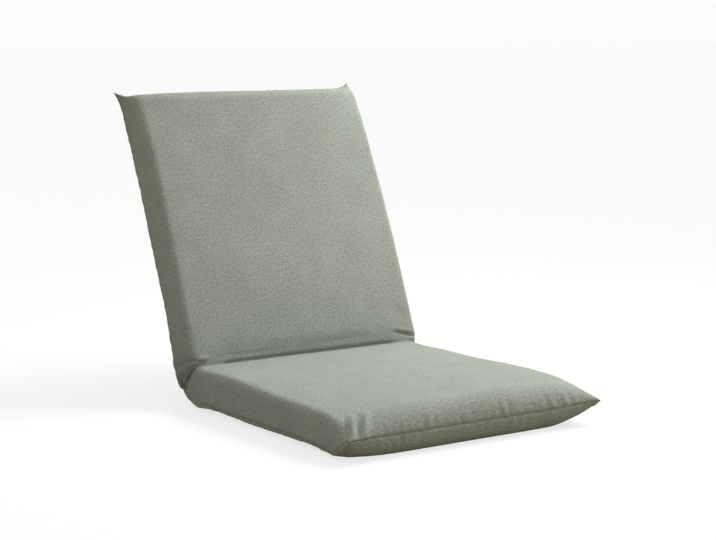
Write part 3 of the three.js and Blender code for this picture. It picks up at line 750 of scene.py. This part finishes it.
# Folds pressed into the front panel: from (x, t) to (x, t), width, height (below zero is a groove)
folds = [
    ((-0.192, 0.006), (-0.168, 0.016), 0.0045, 0.003),
    ((-0.198, 0.014), (-0.176, 0.004), 0.0035, -0.003),
    ((0.155, 0.019), (0.196, 0.007), 0.0034, -0.0034),
    ((0.150, 0.027), (0.190, 0.016), 0.0045, 0.0014),
    ((0.190, 0.040), (0.150, 0.060), 0.008, -0.0010),
    ((-0.150, 0.013), (-0.050, 0.011), 0.005, -0.0008),
    ((0.00, 0.015), (0.10, 0.018), 0.006, -0.0008),
    ((-0.185, 0.10), (-0.165, 0.22), 0.012, 0.0008),
    ((-0.10, -0.33), (0.08, -0.345), 0.016, -0.0008),
    ((-0.197, -0.376), (-0.190, -0.356), 0.0034, 0.0022),
    ((-0.196, -0.388), (-0.181, -0.362), 0.0032, -0.0030),
    ((-0.192, -0.394), (-0.173, -0.364), 0.0034, 0.0048),
    ((-0.186, -0.397), (-0.164, -0.370), 0.0030, -0.0040),
    ((-0.178, -0.398), (-0.155, -0.371), 0.0034, 0.0040),
    ((-0.168, -0.397), (-0.146, -0.378), 0.0030, -0.0022),
]


def nearSegment(x, t, start, end):
    along = Vector((end[0] - start[0], end[1] - start[1]))
    point = Vector((x - start[0], t - start[1]))
    share = min(max(point.dot(along) / along.length_squared, 0), 1)
    return (point - along * share).length, share


relief = {
    "seamGroove": 0.0008,
    "seamWidth": 0.0014,
    "seamLip": 0.0003,
    "lipFrom": 0.0045,
    "lipWidth": 0.0025,
    "puckerDepth": 0.0038,
    "puckerFrom": 0.004,
    "puckerReach": 0.012,
    "puckerPitch": 0.0078,
    "sidePuckers": 0.35,  # against those of the end seams
    "cornerFold": 0.0005,
    "cornerFoldAt": 0.012,  # from the corner
    "cornerFoldReach": 0.017,
    "foldsRound": 11,
    "waviness": 0.0014,
    "waves": 8.5,  # to each metre
    "ripple": 0.00045,
    "ripples": (30, 22),
    "rearCrease": 0.15,  # share of the front crease
    "bottomShare": 0.12,
}


def puckersAt(distance, place, row, layer):
    # Puckers run away from a seam
    place /= relief["puckerPitch"]
    ripple = noise.noise(Vector((place, row, layer)))
    ripple += 0.5 * noise.noise(Vector((place * 2.3, row, layer)))
    reach = smooth(distance / relief["puckerFrom"]) * math.exp(-distance / relief["puckerReach"])
    return ripple * reach


def creaseAt(info):
    # The fold between the pads is shallow over the hinges and deep at the sides
    c = cover
    pastHinge = abs(abs(info["x"]) - c["hingesAt"]) - c["hingeHalf"]
    deep = mix(c["creaseAtHinges"], c["creaseDepth"], smooth(pastHinge / c["hingeFade"]))
    if info["front"]:
        onSide = 1 - smooth((info["fromSide"] - c["sideFrom"]) / c["sideFade"])
        deep = mix(deep, c["sideCrease"], onSide)
    else:
        deep *= relief["rearCrease"]
    return deep * bell(info["t"], c["creaseWidth"])


def zipRelief(x, t, height):
    # The cloth lies smooth round the zip, which sits in a slot with raised lips
    z = zipPlace
    band = abs(t - z["along"])
    beside = smooth((abs(x) - z["reach"] - z["calmPast"]) / z["calmFade"])
    height *= mix(smooth((band - z["calmFrom"]) / z["calmOver"]), 1, beside)
    if abs(x) < z["reach"]:
        ends = smooth((z["reach"] - abs(x)) / z["slotEnd"])
        inSlot = 1 - smooth((band - z["slot"]) / z["slotEdge"] + 0.5)
        onLip = bell(band - z["slot"] - z["lipFrom"], z["lipWidth"])
        height += (z["lip"] * onLip - z["depth"] * inSlot) * ends
    return height


def reliefOf(info):
    x, t = info["x"], info["t"]
    u, v = info["uv"]
    layer = 1.0 if info["front"] else 5.0
    side, end = info["fromSide"], info["fromEnd"]
    nearest = min(side, end)
    height = -relief["seamGroove"] * bell(nearest, relief["seamWidth"])
    height += relief["seamLip"] * bell(nearest - relief["lipFrom"], relief["lipWidth"])
    height += relief["puckerDepth"] * relief["sidePuckers"] * puckersAt(side, v, 3.3, layer)
    height += relief["puckerDepth"] * puckersAt(end, u, 8.1, layer)
    # folds gather towards each pointed corner
    corner = info["corner"]
    away = corner.length
    turn = math.atan2(corner.x, corner.y + 1e-6)
    phase = (1.3 if x > 0 else 0) + (2.1 if t > 0 else 0.4)
    gather = math.cos(turn * relief["foldsRound"] + phase + layer)
    reach = bell(away - relief["cornerFoldAt"], relief["cornerFoldReach"])
    height += relief["cornerFold"] * gather * reach * smooth(away / 0.006)
    # slow waves and finer ripples over the faces
    slow = noise.noise(Vector((u * relief["waves"], v * relief["waves"], layer)))
    height += relief["waviness"] * info["flatness"] * slow
    across, along = relief["ripples"]
    height += relief["ripple"] * noise.noise(Vector((u * across, v * along, layer + 2)))
    height -= creaseAt(info)
    if info["front"]:
        for start, finish, width, rise in folds:
            distance, share = nearSegment(x, t, start, finish)
            height += rise * bell(distance, width) * math.sin(math.pi * mix(0.12, 0.88, share))
    elif t < -0.03 and nearest > 0.02:
        height *= relief["bottomShare"]
    elif t > 0.04:
        height = zipRelief(x, t, height)
    return height


paintedFoldShadeByPad = {"seat": (0.6, 0.04), "back": (1, 0.05)}  # painted fold shade: how much at the fold, how far it reaches


def paintedFoldShadeAt(info):
    # Painted shade: the cloth's colour is darkened towards the fold between the pads, where shade falls
    if not info["front"]:
        return 0
    most, reach = paintedFoldShadeByPad["seat" if info["t"] < 0 else "back"]
    return most * math.exp(-abs(info["t"]) / reach)


settle = {
    "frames": 14,
    "gatherReach": 0.010,
    "mostMove": 0.003,
    "hold": 0.6,  # how firmly the free fabric keeps to its plain form
    "foldHeld": 0.03,  # held fully near the hinge line, at the corners and round the zip
    "cornerHeld": 0.014,
    "besideZip": 0.014,
    "pastZip": 0.012,
    "floorFrom": 0.01,  # and on the floor, this far in from the seams
    "fade": 0.02,
}
clothRules = {
    "quality": 5,
    "mass": 0.15,
    "air_damping": 3,
    "tension_stiffness": 10,
    "compression_stiffness": 10,
    "shear_stiffness": 5,
    "bending_stiffness": 0.02,
    "use_pressure": True,
    "uniform_pressure_force": 5,
    "vertex_group_mass": "hold",
    "pin_stiffness": 1,
    "vertex_group_shrink": "gather",
    "shrink_min": 0,
    "shrink_max": 0.03,  # the sewn edges are this much shorter than the fabric
}


def holdOf(info):
    # 1 where the fabric may not move
    x, t = abs(info["x"]), info["t"]
    fromFold = smooth((abs(t) - settle["foldHeld"]) / settle["foldHeld"])
    fold = max(1 - fromFold, bell(info["corner"].length, settle["cornerHeld"]))
    if info["front"]:
        return max(fold, settle["hold"])
    beside = abs(t - zipPlace["along"]) - settle["besideZip"]
    past = x - zipPlace["reach"] - settle["pastZip"]
    zipHold = 1 - smooth(max(beside, past) / settle["fade"])
    nearSeam = min(info["fromSide"], info["fromEnd"])
    floor = smooth((nearSeam - settle["floorFrom"]) / settle["fade"]) if t < 0 else 0
    return max(fold, zipHold, floor, settle["hold"])


def settleSkin(bm, infos, source):
    # A short cloth simulation: the seams gather and the panels swell between them
    scene = bpy.context.scene
    mesh = bpy.data.meshes.new("settling")
    bm.to_mesh(mesh)
    skin = bpy.data.objects.new("settling", mesh)
    scene.collection.objects.link(skin)
    hold = skin.vertex_groups.new(name="hold")
    gather = skin.vertex_groups.new(name="gather")
    for index, vertex in enumerate(bm.verts):
        info = infos[vertex[source]]
        nearSeam = min(info["fromSide"], info["fromEnd"])
        hold.add([index], holdOf(info), "REPLACE")
        gather.add([index], bell(nearSeam, settle["gatherReach"]), "REPLACE")
    cloth = skin.modifiers.new("settle", "CLOTH")
    for key, value in clothRules.items():
        setattr(cloth.settings, key, value)
    cloth.settings.effector_weights.gravity = 0
    cloth.collision_settings.use_collision = False
    cloth.point_cache.frame_start = 1
    cloth.point_cache.frame_end = settle["frames"]
    for number in range(1, settle["frames"] + 1):
        scene.frame_set(number)
    bpy.context.view_layer.update()
    settled = skin.evaluated_get(bpy.context.evaluated_depsgraph_get()).to_mesh()
    places = [point.co.copy() for point in settled.vertices]
    scene.frame_set(1)
    longest = 0
    for vertex, place in zip(bm.verts, places):
        move = place - vertex.co
        longest = max(longest, move.length)
        if move.length > settle["mostMove"]:
            move *= settle["mostMove"] / move.length
        vertex.co += move
    print("Cover settled, longest move", round(longest * 1000, 1), "mm")
    bpy.data.objects.remove(skin)
    bpy.data.meshes.remove(mesh)


def makeCover():
    rowCount, columnCount = len(coverRows) - 1, len(coverColumns) - 1
    bm = bmesh.new()
    source = bm.verts.layers.int.new("source")
    seamNear = bm.verts.layers.float.new("seamNear")
    # painted shade towards the fold, kept on each point
    paintedFoldShade = bm.verts.layers.float.new("paintedFoldShade")
    uvLayer = bm.loops.layers.uv.new("clothUv")
    infos = []
    for front in (True, False):
        made = bmesh.ops.create_grid(bm, x_segments=columnCount, y_segments=rowCount, size=1)
        for vertex in made["verts"]:
            column = round((vertex.co.x + 1) / 2 * columnCount)
            row = round((vertex.co.y + 1) / 2 * rowCount)
            info = coverPoint(front, coverRows[row], coverColumns[column])
            vertex.co = info["place"]
            vertex[source] = len(infos)
            nearest = min(info["fromSide"], info["fromEnd"])
            vertex[seamNear] = bell(nearest, cover["seamLineReach"])
            vertex[paintedFoldShade] = paintedFoldShadeAt(info)
            infos.append(info)
    for face in bm.faces:
        for loop in face.loops:
            loop[uvLayer].uv = infos[loop.vert[source]]["uv"]
    rim = [vertex for vertex in bm.verts if vertex.is_boundary]
    bmesh.ops.remove_doubles(bm, verts=rim, dist=0.00002)
    bmesh.ops.recalc_face_normals(bm, faces=bm.faces)
    if bm.calc_volume(signed=True) < 0:  # the folded skin can come out of that facing inwards
        bmesh.ops.reverse_faces(bm, faces=bm.faces)
    bm.normal_update()
    settleSkin(bm, infos, source)
    bm.normal_update()
    moves = [(vertex, vertex.normal * reliefOf(infos[vertex[source]])) for vertex in bm.verts]
    for vertex, move in moves:
        vertex.co += move
        vertex.co.z = max(vertex.co.z, cover["floorGap"])
    mesh = meshFrom(bm, "chair_cover")
    mesh.attributes.remove(mesh.attributes["source"])
    shadeSmooth(mesh)
    return newPiece("chair_cover", mesh, fabricMaterial)


chairCover = makeCover()
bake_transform(chairCover)
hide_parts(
    "seat_cover_top", "seat_cover_bottom",
    "back_cover_front", "back_cover_rear", "hinge_sleeve",
)
print("Cover sewn:", len(chairCover.data.polygons), "faces")

# Foam blocks inside the cover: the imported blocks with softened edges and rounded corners

foam = {
    "voxel": 0.0045,
    "cornerRadius": 0.075,
    "shrinkSides": 0.0075,
    "shrinkEnds": 0.011,
    "middle": -0.02,  # of the pad's thickness, from the hinge line
    "faceShare": 0.93,
    "thinSides": 0.16,
    "sidesFrom": 0.12,
    "sidesOver": 0.07,
    "thinEnds": 0.28,
    "endsOver": 0.032,
    "cells": 0.0004,
    "cellPitch": 260,  # to each metre
}


def evenMesh(piece):
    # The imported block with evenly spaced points
    remesh = piece.modifiers.new("evenCells", "REMESH")
    remesh.mode = "VOXEL"
    remesh.voxel_size = foam["voxel"]
    remesh.use_smooth_shade = True
    bpy.context.view_layer.update()
    depsgraph = bpy.context.evaluated_depsgraph_get()
    done = bpy.data.meshes.new_from_object(piece.evaluated_get(depsgraph))
    piece.modifiers.clear()
    piece.data = done
    return done


def makeFoam(nodeName, body):
    name = nodeName + "_block"
    piece = newPiece(name, mergedCopy(nodeName, name, 0.00001), foamMaterial)
    done = evenMesh(piece)
    along, up = (seatOut, seatUp) if body == "seat" else (backUp, backFront)
    radius, middle = foam["cornerRadius"], foam["middle"]
    limitX = cover["halfWidth"] - foam["shrinkSides"]
    limitS = cover[body + "Length"] - foam["shrinkEnds"]
    squeezeX = limitX / cover["halfWidth"]
    longest = max((vertex.co - hingeLine).dot(along) for vertex in done.vertices)
    for vertex in done.vertices:
        local = vertex.co - hingeLine
        x, s, h = local.x, local.dot(along), local.dot(up)
        x, s = x * squeezeX, s * limitS / longest
        narrow = waistAt(body, s)
        if body == "back" and x > 0:
            narrow += shoulderAt(s)
        x *= 1 - narrow / cover["halfWidth"]
        beyondX, beyondS = abs(x) - (limitX - radius), s - (limitS - radius)
        if beyondX > 0 and beyondS > 0:
            reach = math.hypot(beyondX, beyondS)
            if reach > radius:
                x = math.copysign(limitX - radius + beyondX * radius / reach, x)
                s = limitS - radius + beyondS * radius / reach
        thinner = foam["thinSides"] * smooth((abs(x) - foam["sidesFrom"]) / foam["sidesOver"])
        thinner += foam["thinEnds"] * smooth((s - limitS) / foam["endsOver"] + 1)
        h = middle + (h - middle) * (foam["faceShare"] - thinner)
        towardsFace = max(h - middle, 0) / (cover["face"] - middle)
        h += min(dentAt(x, -s if body == "seat" else s), 0) * towardsFace
        h += foam["cells"] * noise.noise(vertex.co * foam["cellPitch"])
        vertex.co = hingeLine + Vector((x, 0, 0)) + along * s + up * h
    done.materials.clear()
    done.materials.append(foamMaterial)
    shadeSmooth(done)
    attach(piece, body)
    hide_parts(nodeName)


for nodeName, body in (
    ("seat_foam_upper", "seat"), ("seat_foam_lower", "seat"),
    ("back_foam_front", "back"), ("back_foam_rear", "back"),
):
    makeFoam(nodeName, body)
print("Foam blocks cut")

# The zip in the rear panel, in the back pad's own directions: across, along, towards the face

backPlace = Matrix.Translation(hingeLine) @ Matrix((
    (1, 0, 0, 0),
    (0, backUp.y, backFront.y, 0),
    (0, backUp.z, backFront.z, 0),
    (0, 0, 0, 1),
))


def finishMesh(bm, name):
    bmesh.ops.recalc_face_normals(bm, faces=bm.faces)
    bmesh.ops.transform(bm, matrix=backPlace, verts=bm.verts)
    mesh = meshFrom(bm, name)
    shadeSmooth(mesh)
    return mesh


def backBox(node):
    # A node's box in the back pad's own directions
    points = [backPlace.inverted() @ vertex.co for vertex in nodes[node].data.vertices]
    low = Vector(min(p[axis] for p in points) for axis in range(3))
    high = Vector(max(p[axis] for p in points) for axis in range(3))
    return low, high


zipTeeth = {
    "pitch": 0.0014,
    "length": 0.0034,
    "width": 0.00115,
    "height": 1.3,  # against the width
    "offset": 0.0009,
    "stagger": 0.25,
    "proud": 0.0004,
}


def addBead(bm, place, width, length, height):
    shape = Matrix.Diagonal((width, length, height, 1))
    bmesh.ops.create_uvsphere(bm, u_segments=8, v_segments=4, radius=0.5, matrix=place @ shape)


def makeTeeth():
    low, high = backBox("zip_coil")
    middle = (low + high) / 2
    bm = bmesh.new()
    count = int((high.x - low.x) / zipTeeth["pitch"])
    for row in (-1, 1):
        for k in range(count):
            place = Matrix.Translation((
                low.x + (k + 0.5 + row * zipTeeth["stagger"]) * zipTeeth["pitch"],
                middle.y + row * zipTeeth["offset"],
                middle.z - zipTeeth["proud"],
            ))
            height = zipTeeth["width"] * zipTeeth["height"]
            addBead(bm, place, zipTeeth["width"], zipTeeth["length"], height)
    mesh = finishMesh(bm, "zip_teeth")
    piece = newPiece("zip_teeth", mesh, slotMaterials["zip_nylon"])
    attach(piece, "back")
    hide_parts("zip_coil")


def roundedBox(bm, low, high, bevel, segments=3):
    made = bmesh.ops.create_cube(bm, size=1)["verts"]
    middle, size = (low + high) / 2, high - low
    for vertex in made:
        vertex.co = middle + Vector(vertex.co[axis] * size[axis] for axis in range(3))
    edges = list({edge for vertex in made for edge in vertex.link_edges})
    bmesh.ops.bevel(
        bm, geom=edges, offset=bevel, segments=segments, affect="EDGES", profile=0.5, material=-1,
        clamp_overlap=True,
    )


slider = {
    "plate": 0.002,
    "plateDown": 0.0003,  # below the rear panel
    "bevel": 0.0007,
    "taper": 0.24,
    "taperOver": 1.6,
    "flange": 0.0007,  # runs along the edges of the slot
    "flangeGap": 0.0004,
    "flangeFrom": 0.001,
    "flangeHigh": 0.0012,
    "flangeBevel": 0.0002,
    "cheek": 0.0011,
    "cheekFrom": 0.0019,
    "cheekHalf": 0.0014,
    "cheekBevel": 0.0004,
    "barRadius": 0.0006,
    "barLength": 0.005,
    "barUp": 0.0009,
}


def makeSlider():
    low, high = backBox("zip_slider")
    across, along = (high.x + low.x) / 2, zipPlace["along"]
    bm = bmesh.new()
    face = cover["under"] - slider["plateDown"]
    plateLow = Vector((low.x, low.y, face - slider["plate"]))
    roundedBox(bm, plateLow, Vector((high.x, high.y, face)), slider["bevel"])
    middle = (low.y + high.y) / 2
    for vertex in bm.verts:  # the closing end is narrower
        share = (vertex.co.x - low.x) / (high.x - low.x)
        narrow = 1 - slider["taper"] * smooth(1 - share * slider["taperOver"])
        vertex.co.y = middle + (vertex.co.y - middle) * narrow
    flangeLow, flangeHigh = face - slider["flangeFrom"], face + slider["flangeHigh"]
    for side in (-1, 1):
        edge = along + side * (zipPlace["slot"] - slider["flangeGap"])
        first, last = sorted((edge, edge - side * slider["flange"]))
        near = Vector((low.x + slider["flangeFrom"], first, flangeLow))
        roundedBox(bm, near, Vector((high.x, last, flangeHigh)), slider["flangeBevel"], 2)
        start = across + side * slider["cheekFrom"]
        first, last = sorted((start, start + side * slider["cheek"]))
        near = Vector((first, along - slider["cheekHalf"], low.z))
        far = Vector((last, along + slider["cheekHalf"], face - slider["plate"] / 2))
        roundedBox(bm, near, far, slider["cheekBevel"])
    bar = Matrix.Translation((across, along, low.z + slider["barUp"]))
    bmesh.ops.create_cone(
        bm, cap_ends=True, segments=16, radius1=slider["barRadius"], radius2=slider["barRadius"],
        depth=slider["barLength"], matrix=bar @ Matrix.Rotation(math.pi / 2, 4, "Y"),
    )
    mesh = finishMesh(bm, "zip_slider_body")
    piece = newPiece("zip_slider_body", mesh, pullMaterial)
    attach(piece, "zip_slider")
    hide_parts("zip_slider")
    return across, low.z + slider["barUp"]


pullTab = {
    "length": 0.024,
    "width": 0.008,
    "thick": 0.0012,
    "narrowing": 0.3,  # towards the slider
    "from": 0.0062,  # the bar to the tab
    "hole": 0.0017,
    "bevel": 0.00025,
    "neckFrom": 0.0012,
    "neckTo": 0.0075,
    "neckWidth": 0.0014,
    "neckThick": 0.0005,
    "neckBevel": 0.0003,
    "ring": 0.00135,
    "wire": 0.00045,
    "wireWidth": 3.1,  # against the thickness
}


def makePull(across, barHeight):
    bm = bmesh.new()
    along, half = zipPlace["along"], pullTab["width"] / 2
    straight = pullTab["length"] - pullTab["width"] - pullTab["from"]
    under = barHeight - pullTab["thick"] / 2
    bmesh.ops.create_circle(bm, segments=40, radius=1)
    for vertex in bm.verts:
        y = vertex.co.y * half - (0 if vertex.co.y > 0 else straight)
        narrow = 1 - pullTab["narrowing"] * smooth((vertex.co.y + 0.2) / 1.2)
        x = vertex.co.x * half * narrow
        vertex.co = Vector((across + x, along - pullTab["from"] - half + y, under))
    holeAt = along - pullTab["from"] - half - straight
    bmesh.ops.create_circle(
        bm, segments=40, radius=pullTab["hole"], matrix=Matrix.Translation((across, holeAt, under)),
    )
    made = bmesh.ops.bridge_loops(bm, edges=list(bm.edges))["faces"]
    raised = bmesh.ops.extrude_face_region(bm, geom=made)["geom"]
    lifted = [item for item in raised if isinstance(item, bmesh.types.BMVert)]
    bmesh.ops.translate(bm, vec=(0, 0, pullTab["thick"]), verts=lifted)
    bmesh.ops.recalc_face_normals(bm, faces=bm.faces)
    sharp = [edge for edge in bm.edges if len(edge.link_faces) == 2 and edge.calc_face_angle() > 1.0]
    bmesh.ops.bevel(
        bm, geom=sharp, offset=pullTab["bevel"], segments=2, affect="EDGES", profile=0.5, material=-1,
    )
    # neck and the eye round the slider's bar
    wide, thick = pullTab["neckWidth"], pullTab["neckThick"]
    near = Vector((across - wide, along - pullTab["neckTo"], barHeight - thick))
    far = Vector((across + wide, along - pullTab["neckFrom"], barHeight + thick))
    roundedBox(bm, near, far, pullTab["neckBevel"], 2)
    eye = Matrix.Translation((across, along - pullTab["ring"], barHeight))
    wire = bmesh.ops.create_circle(
        bm, segments=12, radius=pullTab["wire"],
        matrix=eye @ Matrix.Diagonal((pullTab["wireWidth"], 1, 1, 1)),
    )["verts"]
    bmesh.ops.spin(
        bm, geom=[*wire, *{edge for vertex in wire for edge in vertex.link_edges}],
        cent=(across, along, barHeight), axis=(1, 0, 0), angle=2 * math.pi, steps=24, use_merge=True,
    )
    bmesh.ops.remove_doubles(bm, verts=bm.verts, dist=0.000001)
    mesh = finishMesh(bm, "zip_pull_tab")
    piece = newPiece("zip_pull_tab", mesh, pullMaterial)
    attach(piece, "zip_pull")
    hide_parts("zip_pull")


zipStitch = {
    "pitch": 0.0038,
    "length": 0.0024,
    "thick": 0.0006,
    "from": 0.0085,
    "sunk": 0.00005,
}


def makeStitches():
    bm = bmesh.new()
    count = int(2 * zipPlace["reach"] / zipStitch["pitch"])
    for side in (-1, 1):
        for k in range(count):
            place = Matrix.Translation((
                -zipPlace["reach"] + (k + 0.5) * zipStitch["pitch"],
                zipPlace["along"] + side * zipStitch["from"],
                cover["under"] - zipStitch["sunk"],
            ))
            addBead(bm, place, zipStitch["length"], zipStitch["thick"], zipStitch["thick"])
    mesh = finishMesh(bm, "zip_stitches")
    piece = newPiece("zip_stitches", mesh, slotMaterials["zip_cloth"])
    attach(piece, "back")


makeTeeth()
pullX, pullHeight = makeSlider()
makePull(pullX, pullHeight)
makeStitches()
print("Zip made")

# The leaf springs: merged copies of the imported springs, in their place


def makeLeaf(end):
    name = "pawl_leaf_" + end
    mesh = mergedCopy("pawl_spring_" + end, name, 0.000001)
    piece = newPiece(name, mesh, slotMaterials["spring_steel"])
    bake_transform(piece)
    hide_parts("pawl_spring_" + end)


for end in ("left", "right"):
    makeLeaf(end)

# Camera, light and floor

camera = {
    "target": Vector((-0.022, 0.043, 0.2435)),
    "azimuth": -34.53,
    "elevation": 6.92,
    "distance": 2.46,
    "lens": 90.5,
    "shiftX": 0.0018,
    "shiftY": -0.0458,
}


def placeCamera():
    data = bpy.data.cameras.new("photoCamera")
    data.lens = camera["lens"]
    data.sensor_width = 36
    data.shift_x = camera["shiftX"]
    data.shift_y = camera["shiftY"]
    holder = bpy.data.objects.new("photoCamera", data)
    azimuth = math.radians(camera["azimuth"])
    elevation = math.radians(camera["elevation"])
    away = Vector((
        math.cos(elevation) * math.sin(azimuth),
        -math.cos(elevation) * math.cos(azimuth),
        math.sin(elevation),
    ))
    holder.location = camera["target"] + away * camera["distance"]
    holder.rotation_euler = away.to_track_quat("Z", "Y").to_euler()
    bpy.context.scene.collection.objects.link(holder)
    bpy.context.scene.camera = holder


light = {
    "sunFrom": Vector((0.85, -0.05, 0.75)),
    "sunStrength": 1.2,
    "sunSoftness": 40,  # degrees
    "window": Vector((0.72, 0.02, 0.98)),
    "windowAim": Vector((0.1, 0.15, 0.2)),
    "windowSize": 0.5,
    "windowPower": 8.0,
    "sky": 0.50,
    "skyColor": (1.0, 0.99, 0.94),
    "backdrop": 0.961,
    "floor": (0.28, 0.28, 0.28),
    "floorBounce": (0.32, 0.28, 0.19),  # warms the sides and the underside
    "floorGlow": 0.745,
}


def placeLamp(name, kind, energy, aim, place=None):
    data = bpy.data.lights.new(name, kind)
    data.energy = energy
    lamp = bpy.data.objects.new(name, data)
    lamp.rotation_euler = aim.to_track_quat("Z", "Y").to_euler()
    lamp.location = place or (0, 0, 0)
    bpy.context.scene.collection.objects.link(lamp)
    return data


def asBackground(tree):
    # 1 where the camera, a reflection or a look through glass meets the background
    rays = addNode(tree, "ShaderNodeLightPath").outputs
    seen = maths(tree, "MAXIMUM", rays["Is Camera Ray"], rays["Is Glossy Ray"])
    return maths(tree, "MAXIMUM", seen, rays["Is Transmission Ray"])


def placeLight():
    sun = placeLamp("softSun", "SUN", light["sunStrength"], light["sunFrom"])
    sun.angle = math.radians(light["sunSoftness"])
    aim = light["window"] - light["windowAim"]
    window = placeLamp("windowLight", "AREA", light["windowPower"], aim, light["window"])
    window.size = light["windowSize"]
    world = bpy.data.worlds.new("studio")
    world.use_nodes = True
    bpy.context.scene.world = world
    tree = world.node_tree
    background = tree.nodes["Background"]
    seen = asBackground(tree)
    strength = maths(tree, "MULTIPLY_ADD", seen, light["backdrop"] - light["sky"], light["sky"])
    tree.links.new(colorMix(tree, seen, light["skyColor"], (1, 1, 1)), background.inputs["Color"])
    tree.links.new(strength, background.inputs["Strength"])


def placeFloor():
    bm = bmesh.new()
    bmesh.ops.create_grid(bm, x_segments=1, y_segments=1, size=30)
    mesh = meshFrom(bm, "floor")
    floor = bpy.data.objects.new("floor", mesh)
    bpy.context.scene.collection.objects.link(floor)
    material, tree, shader = newMaterial("paleFloor", light["floor"], 1.0)
    shader.inputs["Specular IOR Level"].default_value = 0
    # the camera meets a glowing neutral floor; the light it throws back is warmer
    seen = asBackground(tree)
    tint = colorMix(tree, seen, light["floorBounce"], light["floor"])
    glow = addNode(tree, "ShaderNodeEmission")
    both = addNode(tree, "ShaderNodeAddShader")
    tree.links.new(tint, shader.inputs["Base Color"])
    tree.links.new(maths(tree, "MULTIPLY", seen, light["floorGlow"]), glow.inputs["Strength"])
    tree.links.new(shader.outputs[0], both.inputs[0])
    tree.links.new(glow.outputs[0], both.inputs[1])
    tree.links.new(both.outputs[0], tree.nodes["Material Output"].inputs["Surface"])
    mesh.materials.append(material)


placeCamera()
placeLight()
placeFloor()
bpy.context.scene.view_settings.view_transform = "Standard"
print("Camera, light and floor placed")
